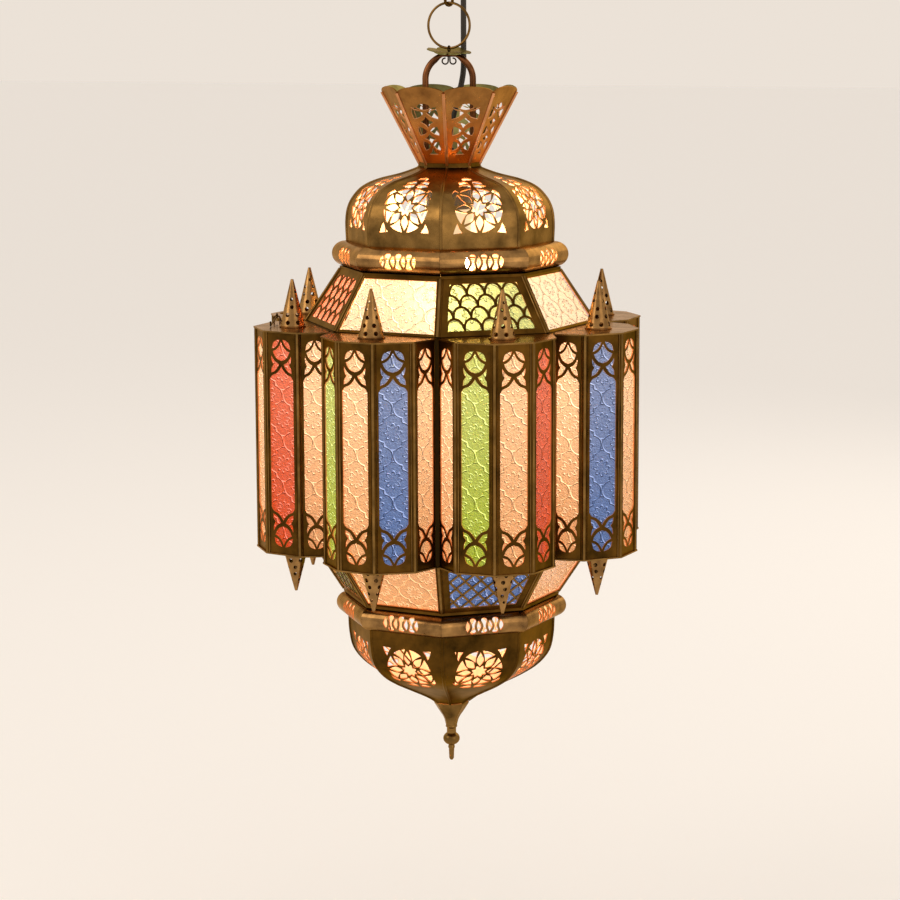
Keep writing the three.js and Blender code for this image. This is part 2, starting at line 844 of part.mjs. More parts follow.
// Sloping skirt of eight faces: a mitred sheet, windows, and a came along each corner
function skirt(footFlat, topFlat, foot, top, lipFlat) {
  const { up, end, length, frameAt } = skirtSlope(footFlat, topFlat, foot, top);
  const ends = [
    [footFlat, foot],
    [topFlat, end],
  ];
  if (up < 0) ends.reverse();
  const shell = ridgedTube(...ends, skirtCameHalf, skirtCameRise);
  const lip = octagonalRing(lipFlat, topFlat, Math.min(top, end), Math.max(top, end));
  const cutters = [];
  for (let i = 0; i < sides; i += 1) {
    const border = i % 2 ? latticeBorder : clearBorder;
    const halfFoot = footFlat * Math.tan(halfStep) - border;
    const halfTop = topFlat * Math.tan(halfStep) - border;
    const reach = length / 2 - border;
    const pane = [
      [-halfFoot, -up * reach],
      [halfFoot, -up * reach],
      [halfTop, up * reach],
      [-halfTop, up * reach],
    ];
    const frame = frameAt(Math.PI + 2 * halfStep * i);
    cutters.push(cutter(pane, frame, 4 * sheet, 2 * sheet));
  }
  return cutBy(shell.add(lip.translate([0, 0, -up * overlap])), cutters);
}

// Glass pane behind one face of a skirt
function skirtPane(footFlat, topFlat, foot, top, angle) {
  const { up, length, frameAt } = skirtSlope(footFlat, topFlat, foot, top);
  const depth = sheet + seam;
  const inset = glassThickness + 2 * seam + sheet;
  const halfFoot = footFlat * Math.tan(halfStep) - inset;
  const halfTop = topFlat * Math.tan(halfStep) - inset;
  const reach = length / 2 - glassThickness;
  const outline = [
    [-halfFoot, -up * reach],
    [halfFoot, -up * reach],
    [halfTop, up * reach],
    [-halfTop, up * reach],
  ];
  return cutter(outline, frameAt(angle), depth + glassThickness, -depth);
}

// Hollow half-round ring moulding with flanges, open towards the lamp
function ringMoulding(bottom, radius) {
  const middle = bottom + radius;
  const arc = (r) =>
    [-90, -60, -ringFaceTurn, ringFaceTurn, 60, 90].map((turn) => [
      ringFlat + r * Math.cos(turn * degrees),
      middle + r * Math.sin(turn * degrees),
    ]);
  const inner = ringFlat - ringFlange;
  const bore = octagonal([
    [inner, bottom - 1],
    [inner, bottom + 2 * radius + 1],
  ]);
  const whole = cutBy(octagonal(arc(radius)), [octagonal(arc(radius - sheet)), bore]);
  const slotHalf = (radius - sheet) * Math.sin(ringFaceTurn * degrees) - seam / 2;
  const cutters = [];
  for (let i = 0; i < sides; i += 1) {
    const frame = facing(2 * halfStep * i, ringFlat + radius / 2, middle);
    for (let k = 0; k < slotCount; k += 1) {
      const place = (k - (slotCount - 1) / 2) * slotPitch;
      const slot = [
        [place, -slotHalf],
        [place + slotWidth / 2, 0],
        [place, slotHalf],
        [place - slotWidth / 2, 0],
      ];
      cutters.push(cutter(slot, frame, 0, radius));
    }
  }
  return cutBy(whole, cutters);
}

// Rosette: a star-shaped core and a ring of petals, in a face's own frame
function rosetteCutters(frame) {
  const cutters = [];
  const core = [];
  const coreCorners = petals / 2;
  for (let i = 0; i < coreCorners; i += 1) {
    const turn = (2 * Math.PI * i) / coreCorners;
    core.push([rosetteCore * Math.cos(turn), rosetteCore * Math.sin(turn)]);
  }
  cutters.push(cutter(core, frame, rosetteDepth, rosetteDepth));
  for (let i = 0; i < petals; i += 1) {
    const turn = (2 * Math.PI * (i + 0.5)) / petals;
    const spoke = (along, across) => [
      along * Math.cos(turn) - across * Math.sin(turn),
      along * Math.sin(turn) + across * Math.cos(turn),
    ];
    const petal = [
      spoke(petalRoot, 0),
      spoke(petalEnd, -petalHalf),
      spoke(petalEnd, petalHalf),
    ];
    cutters.push(cutter(petal, frame, rosetteDepth, rosetteDepth));
  }
  return cutters;
}

// Dome or bowl: a folded octagonal shell with a rosette on each side; rise is 1 or -1
function rosetteShell(outline, edge, rise) {
  const outer = outline.map(([flat, z]) => [flat, edge + rise * z]);
  const ordered = rise > 0 ? outer : [...outer].reverse();
  const [lowFlat, low] = outer[rosetteFacet];
  const [highFlat, high] = outer[rosetteFacet + 1];
  const lean = Math.atan2(lowFlat - highFlat, high - low);
  const cutters = [];
  for (let i = 0; i < sides; i += 1) {
    const angle = 2 * halfStep * i;
    const faceLean = rise > 0 ? lean : lean - Math.PI;
    const frame = facing(angle, (lowFlat + highFlat) / 2, (low + high) / 2, faceLean);
    cutters.push(...rosetteCutters(frame));
  }
  return cutBy(octagonalShell(ordered), cutters);
}

// Crown: a flared octagonal sheet, scalloped at the top, pierced in three rows, with raised seams
function crown() {
  const lean = Math.atan2(crownTopFlat - neckFlat, crownHeight);
  const slant = Math.hypot(crownTopFlat - neckFlat, crownHeight);
  const extra = scallopRise / slant;
  const tip = [
    crownTopFlat + (crownTopFlat - neckFlat) * extra,
    crownTop + crownHeight * extra,
  ];
  const shell = ridgedTube([neckFlat, crownFoot], tip, crownRibHalf, crownRibRise);
  const halfTop = crownTopFlat * Math.tan(halfStep);
  const cutters = [];
  for (let i = 0; i < sides; i += 1) {
    const angle = 2 * halfStep * i;
    const frame = facing(angle, neckFlat, crownFoot, -lean);
    const above = [];
    const steps = 4;
    for (let k = 0; k <= steps; k += 1) {
      const turn = (Math.PI * k) / steps;
      above.push([halfTop * Math.cos(turn), slant + scallopRise * Math.sin(turn)]);
    }
    const high = slant + 3 * scallopRise;
    const wide = halfTop + scallopRise;
    const outline = [[wide, slant], ...above, [-wide, slant], [-wide, high], [wide, high]];
    cutters.push(cutter(outline, frame, 3 * sheet, 3 * sheet));
    const rowHeight = (slant - crownFootMargin - crownHeadMargin) / crownRows;
    for (let row = 0; row < crownRows; row += 1) {
      const y = crownFootMargin + rowHeight * (row + 0.5);
      const flat = neckFlat + ((crownTopFlat - neckFlat) * y) / slant;
      const half = flat * Math.tan(halfStep) * crownHoleWidthShare;
      const tall = (rowHeight / 2) * crownHoleHeightShare;
      const diamond = [
        [half, y],
        [0, y + tall],
        [-half, y],
        [0, y - tall],
      ];
      cutters.push(cutter(diamond, frame, 3 * sheet, 3 * sheet));
    }
  }
  return cutBy(shell, cutters);
}

// Finial: an eight-sided cup, and below it a stem, a ball and a pin in one turned piece
function finial() {
  const rim = bowlOutline.at(-1)[0] * toCorner;
  const cup = revolved(
    [
      [0, 0],
      [0, -finialCupHeight],
      [finialNeckRadius, -finialCupHeight],
      [rim * finialWaistShare, -finialCupHeight / 2],
      [rim, -finialCupRim],
      [rim, 0],
    ],
    sides,
    halfStep,
  );
  const ballTop = -finialCupHeight - finialStemHeight;
  const ballHalf = finialBallRadius * finialBallShare;
  const ballMiddle = ballTop - ballHalf;
  const ballBottom = ballMiddle - ballHalf;
  const stem = revolved(
    [
      [0, -finialCupHeight + overlap],
      [finialStemRadius, -finialCupHeight + overlap],
      [finialStemRadius, ballTop],
      [ballHalf, ballTop - finialBallShoulder],
      [finialBallRadius, ballMiddle],
      [ballHalf, ballBottom + finialBallShoulder],
      [finialPinRadius, ballBottom],
      [finialPinEndRadius, -finialLength + finialTipHeight],
      [0, -finialLength],
    ],
    12,
  );
  return joined([cup, stem]).translate([0, 0, bowlFoot - seam]);
}

// Lamp parts, all on the axis
function neckPlate() {
  const flat = innerFlatAt(domeOutline, neckPlateTop - domeFoot) - seam;
  const plate = octagonal([
    [flat, neckPlateBottom],
    [flat, neckPlateTop],
  ]);
  const bore = nippleRadius + seam;
  const legBore = archBarRadius + seam;
  const holes = [upright(bore, bore, neckPlateBottom - 1, neckPlateTop + 1, 12)];
  for (const side of [-1, 1]) {
    const hole = upright(legBore, legBore, neckPlateBottom - 1, neckPlateTop + 1, 10);
    holes.push(turnedZ(hole.translate([side * archHalf, 0, 0]), archTurn));
  }
  return cutBy(plate, holes);
}

function nipple() {
  const upperNut = neckPlateTop + seam;
  const bore = nippleRadius - nippleWall;
  const bodies = [
    upright(nippleRadius, nippleRadius, nippleBottom, nippleTop, 12),
    upright(nutRadius, nutRadius, upperNut, upperNut + nutHeight, 6),
    upright(nutRadius, nutRadius, nippleBottom, nippleBottom + nutHeight, 6),
  ];
  return cutBy(joined(bodies), [upright(bore, bore, nippleBottom - 1, nippleTop + 1, 12)]);
}

function cordGrip() {
  const foot = nippleTop + seam;
  const head = foot + gripHeight;
  const outer = upright(gripFootRadius, cableRadius + gripHeadWall, foot, head, 12);
  const bore = cableRadius + seam;
  return cutBy(outer, [upright(bore, bore, foot - 1, head + 1, 12)]);
}

function lampholderCap() {
  const bore = nippleRadius + seam;
  return revolved(
    [
      [bore, capTop],
      [bore, capTop - lampWall],
      [capRadius - lampWall, capTop - lampWall],
      [capRadius - lampWall, capTop - capHeight],
      [capRadius, capTop - capHeight],
      [capRadius, capTop - capBevelHeight],
      [capRadius - capBevelWidth, capTop],
    ],
    12,
  );
}

function lampholderShell() {
  const inner = bulbBaseRadius + seam;
  const flangeFoot = shellTop - lampFlangeHeight;
  return revolved(
    [
      [inner, shellTop],
      [inner, shellTop - lampShellHeight],
      [lampShellRadius, shellTop - lampShellHeight],
      [lampShellRadius, flangeFoot],
      [lampShellRadius + lampFlange, flangeFoot],
      [lampShellRadius + lampFlange, shellTop],
    ],
    12,
  );
}

function bulb() {
  const base = bulbTop - bulbBaseLength;
  const bottom = base - bulbGlassLength;
  const centre = bottom + bulbRadius;
  const profile = [
    [0, bulbTop],
    [bulbContactRadius, bulbTop],
    [bulbBaseRadius, bulbTop - bulbContactHeight],
    [bulbBaseRadius, base - bulbShoulder],
  ];
  for (const turn of bulbTurns) {
    const across = bulbRadius * Math.cos(turn * degrees);
    profile.push([across, centre + bulbRadius * Math.sin(turn * degrees)]);
  }
  profile.push([0, bottom]);
  return revolved(profile, 12);
}

// Hanger arch: a round bar bent to a U, flattened and drilled on top, riveted under the neck plate
function hangerArch() {
  const spring = archTop - archTopThickness / 2 - archHalf;
  const rivetTop = neckPlateBottom - seam;
  const foot = rivetTop - archStub;
  const path = [[-archHalf, 0, foot]];
  for (let i = 1; i <= 6; i += 1) {
    path.push([-archHalf, 0, foot + ((spring - foot) * i) / 7]);
  }
  for (let i = 0; i <= 10; i += 1) {
    const turn = Math.PI - (Math.PI * i) / 10;
    path.push([archHalf * Math.cos(turn), 0, spring + archHalf * Math.sin(turn)]);
  }
  for (let i = 6; i >= 0; i -= 1) {
    path.push([archHalf, 0, foot + ((spring - foot) * i) / 7]);
  }
  const bar = barAlong(path, archBarRadius, 8, 16);
  const press = 2 * archBarRadius;
  const above = box([-press, press], [-press, press], [archTop, archTop + press]);
  const under = archTop - archTopThickness;
  const below = box([-press, press], [-press, press], [under - press, under]);
  const bore = 2 * cotterWireRadius + 2 * seam;
  const hole = upright(bore, bore, under - press, archTop + press, 8);
  const head = archBarRadius + rivetOverhang;
  const rivet = upright(head, head, rivetTop - rivetHeight, rivetTop, 8);
  const rivets = [-archHalf, archHalf].map((x) => rivet.translate([x, 0, 0]));
  return turnedZ(joined([cutBy(bar, [above, below, hole]), ...rivets]), archTurn);
}

// Flower washer, dished upwards towards its petals
function flowerWasher() {
  const outline = [];
  const perPetal = washerPetalShares.length;
  for (let i = 0; i < washerPetals * perPetal; i += 1) {
    const turn = (2 * Math.PI * i) / (washerPetals * perPetal);
    const reach = washerRadius * washerPetalShares[i % perPetal];
    outline.push([reach * Math.cos(turn), reach * Math.sin(turn)]);
  }
  const rim = solid(slab(outline, washerThickness + washerDish, washerBottom));
  const bore = 2 * cotterWireRadius + 2 * seam;
  const dished = revolved(
    [
      [bore, washerBottom],
      [washerFlatRadius, washerBottom],
      [washerRadius + 1, washerBottom + washerDish],
      [washerRadius + 1, washerBottom + washerDish + washerThickness],
      [washerFlatRadius, washerTop],
      [bore, washerTop],
    ],
    16,
  );
  return rim.intersect(dished);
}

// Split cotter: one wire, curled tail, leg, eye, leg, curled tail
function swivelCotter() {
  const eyeTurn = cotterTurn * degrees;
  const tailTurn = cotterTailTurn * degrees;
  const legHalf = cotterWireRadius + seam / 2;
  const bendTop = archTop - archTopThickness - cotterTailDrop - cotterWireRadius;
  const at = (turn, across, z) => [across * Math.cos(turn), across * Math.sin(turn), z];
  const tail = (sign) => {
    const points = [];
    const steps = 9;
    const centre = legHalf + curlRadius;
    for (let i = steps; i >= 0; i -= 1) {
      const around = Math.PI + (curlTurn * degrees * i) / steps;
      const across = centre + curlRadius * Math.cos(around);
      const z = bendTop - curlRadius + curlRadius * Math.sin(around);
      points.push(at(tailTurn, sign * across, z));
    }
    return points;
  };
  const legTop = washerBottom;
  const eye = [];
  const open = Math.asin(legHalf / cotterEyeRadius);
  for (let i = 0; i <= 9; i += 1) {
    const around = -Math.PI / 2 - open - ((2 * Math.PI - 2 * open) * i) / 9;
    const across = cotterEyeRadius * Math.cos(around);
    eye.push(at(eyeTurn, across, cotterEyeCentre + cotterEyeRadius * Math.sin(around)));
  }
  const middleTurn = (eyeTurn + tailTurn) / 2;
  const leg = (sign) => at(middleTurn, sign * legHalf, (bendTop + legTop) / 2);
  const path = [...tail(-1), leg(-1), ...eye, leg(1), ...tail(1).reverse()];
  return barAlong(path, cotterWireRadius, 4, 38);
}

// Ceiling plate: a disc with a threaded boss for the hook, two screw holes and one for the cable
function ceilingPlate() {
  const plateFoot = -ceilingPlateThickness;
  const bossFoot = plateFoot - bossDepth;
  const disc = upright(ceilingPlateRadius, ceilingPlateRadius, plateFoot, 0, 16);
  const boss = upright(bossRadius, bossRadius, bossFoot, plateFoot + overlap, 12);
  const shank = hookWire + seam;
  const socket = upright(shank, shank, bossFoot - 1, plateFoot, 8);
  const screwHole = upright(screwHoleRadius, screwHoleRadius, plateFoot - 1, 1, 8);
  const holes = [-1, 1].map((side) => screwHole.translate([side * screwHoleOffset, 0, 0]));
  const cableBore = cableRadius + cableHoleEase;
  const cableHole = upright(cableBore, cableBore, plateFoot - 1, 1, 10);
  return cutBy(disc.add(boss), [socket, ...holes, cableHole.translate([...cablePlace, 0])]);
}

// Ceiling rose: a shallow cup, held up by the hook's collar
function ceilingRose() {
  const rim = -seam;
  const floor = -roseDepth - seam;
  const bore = hookWire + seam;
  const cup = revolved(
    [
      [bore, floor],
      [roseFootRadius, floor],
      [roseBellyRadius, floor + roseBellyHeight],
      [roseRadius, rim - roseRimHeight],
      [roseRadius, rim],
      [roseRadius - roseWall, rim],
      [roseRadius - roseWall, rim - roseRimHeight],
      [roseBellyRadius - roseWall, floor + roseBellyHeight + roseWall / 2],
      [roseFootRadius - roseWall / 2, floor + roseWall],
      [bore, floor + roseWall],
    ],
    12,
  );
  const hole = cableRadius + seam;
  const holeTop = floor + 2 * roseWall;
  const cableHole = upright(hole, hole, floor - 1, holeTop, 10).translate([...cablePlace, 0]);
  return cup.subtract(cableHole);
}

// Ceiling hook: shank, collar under the rose, and an open loop for the chain
function ceilingHook() {
  const shankTop = -ceilingPlateThickness - seam;
  const loopCentre = hookCentre - ceiling;
  const collarTop = roseFoot - ceiling - seam;
  const path = [];
  for (let i = 0; i <= 10; i += 1) {
    const turn = (hookStart - (hookSweep * i) / 10) * degrees;
    path.push([hookRadius * Math.cos(turn), 0, loopCentre + hookRadius * Math.sin(turn)]);
  }
  const [, , lastZ] = path.at(-1);
  const collarFoot = collarTop - collarHeight;
  path.push([0, 0, lastZ + hookNeckRise]);
  path.push([0, 0, collarFoot + overlap]);
  const loop = barAlong(path, hookWire, 6, 16);
  const shank = upright(hookWire, hookWire, collarFoot, shankTop, 6);
  const collar = upright(collarRadius, collarRadius, collarFoot, collarTop, 8);
  return turnedZ(joined([loop, shank, collar]), firstLinkTurn);
}

function cable(points) {
  const length = points.at(0)[2] - points.at(-1)[2];
  const steps = Math.ceil(length / (5 * cableRadius));
  return barAlong(points, cableRadius, 8, steps);
}

// Finishes: colour, roughness, metalness
const agedBrass = { color: 0x7a5c22, roughness: 0.38, metalness: 1 };
const darkBrass = { color: 0x5a4a20, roughness: 0.45, metalness: 1 };
const warmBrass = { color: 0x9a6a34, roughness: 0.35, metalness: 1 };
const glass = { roughness: 0.12, metalness: 0, transparent: true, opacity: 0.6 };
const clearGlass = { ...glass, color: 0xf0cda4 };
const redGlass = { ...glass, color: 0xd8431f };
const greenGlass = { ...glass, color: 0x9bc83c };
const blueGlass = { ...glass, color: 0x3f62b8 };
const bulbGlass = { color: 0xfff4e0, roughness: 0.3, metalness: 0 };
const blackPlastic = { color: 0x1c1b18, roughness: 0.6, metalness: 0 };

const group = new THREE.Group();
group.name = "moroccan_lantern";
const lantern = new THREE.Group();
lantern.position.z = -ceiling;
group.add(lantern);

function addPart(parent, name, body, finish) {
  const mesh = new THREE.Mesh(surface(body), new THREE.MeshStandardMaterial(finish));
  mesh.name = name;
  mesh.geometry.computeVertexNormals();
  parent.add(mesh);
  return mesh;
}

addPart(group, "ceiling_plate", ceilingPlate(), darkBrass);
addPart(group, "ceiling_rose", ceilingRose(), agedBrass);
addPart(group, "ceiling_hook", ceilingHook(), agedBrass);

const link = (bottom, turn) =>
  closedBar(ovalPath(linkHalfWidth, bottom, linkLength, 5), linkWire, 6, turn);
addPart(lantern, "chain_link_1", link(firstLinkBottom, firstLinkTurn), agedBrass);
addPart(lantern, "chain_link_2", link(secondLinkBottom, firstLinkTurn + 90), agedBrass);
const ringPath = circlePath(hangingRingRadius, ringBottom, 22);
addPart(lantern, "hanging_ring", closedBar(ringPath, hangingRingWire, 5, ringTurn), darkBrass);
addPart(lantern, "swivel_cotter", swivelCotter(), darkBrass);
addPart(lantern, "flower_washer", flowerWasher(), darkBrass);
addPart(lantern, "hanger_arch", hangerArch(), warmBrass);

const splice = ringBottom;
const cableTop = ceiling - ceilingPlateThickness - seam;
const upperRoute = [
  [...cablePlace, cableTop],
  [...cablePlace, (cableTop + splice) / 2],
  [...cablePlace, splice + cableGap],
];
const lowerRoute = [
  [...cablePlace, splice - cableGap],
  ...lowerCableRoute,
  [0, 0, nippleBottom + nutHeight],
];
addPart(lantern, "cable_upper", cable(upperRoute), blackPlastic);
addPart(lantern, "cable_lower", cable(lowerRoute), blackPlastic);

addPart(lantern, "crown", crown(), warmBrass);
addPart(lantern, "dome", rosetteShell(domeOutline, domeFoot, 1), agedBrass);
addPart(lantern, "neck_plate", neckPlate(), darkBrass);
addPart(lantern, "nipple", nipple(), agedBrass);
addPart(lantern, "cord_grip", cordGrip(), blackPlastic);
addPart(lantern, "lampholder_cap", lampholderCap(), blackPlastic);
addPart(lantern, "lampholder_shell", lampholderShell(), blackPlastic);
addPart(lantern, "bulb", bulb(), bulbGlass);
addPart(lantern, "upper_ring", ringMoulding(upperRingBottom, ringRadius), agedBrass);

const upperSkirtTop = upperSkirtFoot + upperSkirtHeight;
const upperTopFlat = ringFlat + upperSkirtStandoff;
const lipFlat = ringFlat - skirtLipReach;
const upperSkirt = skirt(skirtFootFlat, upperTopFlat, upperSkirtFoot, upperSkirtTop, lipFlat);
addPart(lantern, "upper_skirt", upperSkirt, agedBrass);

const lowerSkirtFoot = lowerSkirtHead - lowerSkirtHeight;
const lowerTopFlat = ringFlat + lowerSkirtStandoff;
const lowerSkirt = skirt(skirtFootFlat, lowerTopFlat, lowerSkirtHead, lowerSkirtFoot, lipFlat);
addPart(lantern, "lower_skirt", lowerSkirt, agedBrass);

// Every second pane of a skirt is clear; these are the others, from the pane after the door
const upperColours = [redGlass, greenGlass, blueGlass, greenGlass];
const lowerColours = [greenGlass, blueGlass, redGlass, blueGlass];
for (let i = 0; i < sides; i += 1) {
  const coloured = i % 2 === 1;
  const place = Math.floor(i / 2) % upperColours.length;
  const angle = Math.PI + 2 * halfStep * i;
  const number = i + 1;
  const upper = skirtPane(skirtFootFlat, upperTopFlat, upperSkirtFoot, upperSkirtTop, angle);
  const lower = skirtPane(skirtFootFlat, lowerTopFlat, lowerSkirtHead, lowerSkirtFoot, angle);
  addPart(lantern, `upper_pane_${number}`, upper, coloured ? upperColours[place] : clearGlass);
  addPart(lantern, `lower_pane_${number}`, lower, coloured ? lowerColours[place] : clearGlass);
}

addPart(lantern, "drum_frame", drumFrame(), darkBrass);

// Bays counterclockwise from the door; the bay after the door carries the hook's staple
const plainBay = bayFrame();
const latch = latchPlaces();
for (let i = 0; i < sides; i += 1) {
  const turn = doorTurn + faceTurn * i;
  let frame = plainBay;
  if (i === 0) {
    const { bodies, bores } = doorKnuckles();
    const eye = doorEye().translate([latch.out, -latch.half, 0]);
    frame = cutBy(joined([frame, ...bodies, turnedZ(eye, faceTurn / 2)]), bores);
  }
  if (i === 1) {
    const staple = latchStaple().translate([latch.out, latch.half, 0]);
    frame = joined([frame, turnedZ(staple, -faceTurn / 2)]);
  }
  const name = i === 0 ? "door" : `bay_${i}`;
  for (const mesh of [
    addPart(lantern, `${name}_frame`, frame, agedBrass),
    addPart(lantern, `${name}_glass`, bayGlass(), clearGlass),
  ]) {
    mesh.rotation.z = turn * degrees;
  }
}

// Hinge pin of the door: a wire with a small head on the topmost knuckle
const pinTop = hingeHeights[0] + 1.5 * knuckleHeight + 2 * seam;
const pinFoot = hingeHeights[1] - 1.5 * knuckleHeight - 2 * seam;
const pin = joined([
  upright(pinRadius, pinRadius, pinFoot, pinTop + overlap, 6),
  upright(knuckleRadius, knuckleRadius, pinTop, pinTop + pinHeadHeight, 8),
]);
const pinPlace = pin.translate([hingeRadius, 0, 0]);
addPart(lantern, "hinge_pin", turnedZ(pinPlace, hingeCorner), darkBrass);

const hookLength = 2 * latch.half;
const droop = Math.asin((latchPivotHeight - latchWire - seam) / hookLength) / degrees;
const hook = doorHook(hookLength, droop).translate([latch.out, latch.half, latchPivotHeight]);
addPart(lantern, "door_hook", turnedZ(hook, latchCorner), darkBrass);

const lowerRingBottom = lowerRingTop - 2 * lowerRingRadius;
addPart(lantern, "lower_ring", ringMoulding(lowerRingBottom, lowerRingRadius), agedBrass);
addPart(lantern, "bowl", rosetteShell(bowlOutline, bowlHead, -1), agedBrass);
addPart(lantern, "finial", finial(), agedBrass);

export default group;
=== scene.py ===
"""A Moroccan hanging lantern of pierced brass and pressed glass, lit, on its chain and cable.

Sizes are in millimetres in the geometry functions and in metres in Blender. The origin is the
ceiling face, +Z is up, and the door bay faces -X.
"""

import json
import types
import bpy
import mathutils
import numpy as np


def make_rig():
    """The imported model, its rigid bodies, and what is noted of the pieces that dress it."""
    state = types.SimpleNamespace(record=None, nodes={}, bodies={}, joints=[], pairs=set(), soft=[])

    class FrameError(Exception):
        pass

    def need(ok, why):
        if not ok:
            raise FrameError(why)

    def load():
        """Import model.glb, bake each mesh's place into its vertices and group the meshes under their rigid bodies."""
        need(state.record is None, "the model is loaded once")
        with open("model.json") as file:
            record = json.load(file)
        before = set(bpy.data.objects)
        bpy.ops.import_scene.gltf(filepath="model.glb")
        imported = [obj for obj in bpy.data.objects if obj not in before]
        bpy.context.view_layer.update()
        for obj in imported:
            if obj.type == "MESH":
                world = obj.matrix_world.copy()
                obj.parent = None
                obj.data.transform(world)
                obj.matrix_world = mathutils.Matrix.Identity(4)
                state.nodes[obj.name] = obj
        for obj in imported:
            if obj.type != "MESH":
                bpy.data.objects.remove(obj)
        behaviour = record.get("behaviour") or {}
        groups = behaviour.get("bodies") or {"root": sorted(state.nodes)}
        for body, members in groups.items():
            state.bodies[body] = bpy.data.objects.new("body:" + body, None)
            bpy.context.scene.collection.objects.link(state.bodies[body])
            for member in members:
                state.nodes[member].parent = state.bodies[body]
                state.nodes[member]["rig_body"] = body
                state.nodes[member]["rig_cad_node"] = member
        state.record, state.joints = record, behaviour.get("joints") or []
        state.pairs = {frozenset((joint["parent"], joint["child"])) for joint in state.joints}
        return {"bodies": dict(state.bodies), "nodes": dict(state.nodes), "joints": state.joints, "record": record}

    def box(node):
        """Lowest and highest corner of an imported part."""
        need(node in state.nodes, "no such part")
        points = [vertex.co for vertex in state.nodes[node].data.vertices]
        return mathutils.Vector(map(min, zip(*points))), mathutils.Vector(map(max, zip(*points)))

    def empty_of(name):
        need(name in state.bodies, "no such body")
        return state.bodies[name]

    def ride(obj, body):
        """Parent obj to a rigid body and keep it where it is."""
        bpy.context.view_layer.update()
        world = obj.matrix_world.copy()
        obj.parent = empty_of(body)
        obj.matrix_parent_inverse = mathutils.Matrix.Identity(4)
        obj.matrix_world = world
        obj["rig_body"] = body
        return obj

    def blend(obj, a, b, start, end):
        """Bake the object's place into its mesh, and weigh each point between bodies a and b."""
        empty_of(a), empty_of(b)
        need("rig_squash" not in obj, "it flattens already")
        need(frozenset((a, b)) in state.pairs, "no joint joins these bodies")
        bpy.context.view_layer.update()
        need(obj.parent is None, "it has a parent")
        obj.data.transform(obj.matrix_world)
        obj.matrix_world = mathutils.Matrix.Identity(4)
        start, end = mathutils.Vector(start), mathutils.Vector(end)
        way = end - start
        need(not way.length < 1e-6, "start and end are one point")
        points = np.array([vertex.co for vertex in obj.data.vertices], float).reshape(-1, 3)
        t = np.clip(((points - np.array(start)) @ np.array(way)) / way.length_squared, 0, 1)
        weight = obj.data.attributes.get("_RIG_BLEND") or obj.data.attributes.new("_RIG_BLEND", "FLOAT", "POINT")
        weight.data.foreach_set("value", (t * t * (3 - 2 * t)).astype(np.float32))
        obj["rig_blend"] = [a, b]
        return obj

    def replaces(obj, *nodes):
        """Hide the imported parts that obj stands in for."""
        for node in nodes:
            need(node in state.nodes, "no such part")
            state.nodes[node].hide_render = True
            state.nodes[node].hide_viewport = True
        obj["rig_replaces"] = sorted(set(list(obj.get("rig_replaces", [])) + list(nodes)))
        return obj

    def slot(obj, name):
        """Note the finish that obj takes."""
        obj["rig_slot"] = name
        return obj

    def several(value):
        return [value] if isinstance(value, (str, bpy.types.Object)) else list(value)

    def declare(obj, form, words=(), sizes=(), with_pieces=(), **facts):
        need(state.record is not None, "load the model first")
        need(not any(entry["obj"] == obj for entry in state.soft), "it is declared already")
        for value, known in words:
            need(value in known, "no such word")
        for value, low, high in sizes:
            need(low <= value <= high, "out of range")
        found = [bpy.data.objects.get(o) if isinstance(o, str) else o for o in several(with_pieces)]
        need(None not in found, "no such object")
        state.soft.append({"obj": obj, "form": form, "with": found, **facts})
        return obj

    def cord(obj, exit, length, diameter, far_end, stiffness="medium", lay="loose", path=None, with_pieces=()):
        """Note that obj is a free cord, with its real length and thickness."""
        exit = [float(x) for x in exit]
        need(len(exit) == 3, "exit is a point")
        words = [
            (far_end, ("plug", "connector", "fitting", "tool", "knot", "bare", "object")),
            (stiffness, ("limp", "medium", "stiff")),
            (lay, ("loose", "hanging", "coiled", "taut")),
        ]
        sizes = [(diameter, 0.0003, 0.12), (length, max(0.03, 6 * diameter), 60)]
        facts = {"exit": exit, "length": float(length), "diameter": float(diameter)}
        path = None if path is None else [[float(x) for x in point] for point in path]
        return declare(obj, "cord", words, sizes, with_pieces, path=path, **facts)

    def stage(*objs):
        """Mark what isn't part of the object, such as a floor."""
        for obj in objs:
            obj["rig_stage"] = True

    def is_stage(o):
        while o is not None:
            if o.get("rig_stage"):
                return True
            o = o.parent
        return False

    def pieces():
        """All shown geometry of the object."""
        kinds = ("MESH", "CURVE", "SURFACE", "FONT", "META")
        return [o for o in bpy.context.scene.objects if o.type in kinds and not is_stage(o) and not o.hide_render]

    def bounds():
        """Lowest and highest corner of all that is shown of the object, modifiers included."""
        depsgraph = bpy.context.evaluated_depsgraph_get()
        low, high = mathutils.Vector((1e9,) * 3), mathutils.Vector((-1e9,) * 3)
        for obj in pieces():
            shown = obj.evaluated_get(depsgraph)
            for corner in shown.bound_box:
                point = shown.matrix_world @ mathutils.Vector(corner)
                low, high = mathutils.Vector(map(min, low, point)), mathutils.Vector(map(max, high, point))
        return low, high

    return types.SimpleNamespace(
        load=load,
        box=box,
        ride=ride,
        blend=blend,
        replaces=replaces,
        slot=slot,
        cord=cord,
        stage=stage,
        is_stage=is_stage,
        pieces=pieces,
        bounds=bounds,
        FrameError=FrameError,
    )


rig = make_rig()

bl_info = {
    "name": "Moroccan lantern",
    "version": (1, 0, 0),
    "blender": (4, 5, 0),
    "location": "View3D > Sidebar > Lantern",
    "description": "Builds a pierced brass lantern with pressed glass bays round its fixed frame",
    "category": "Add Mesh",
}

import json
import math

import bmesh
import bpy
import numpy as np
from bpy.props import FloatProperty, FloatVectorProperty, PointerProperty
from bpy.types import Operator, Panel, PropertyGroup
from mathutils import Matrix, Vector

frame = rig.load()
cad_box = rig.bounds()

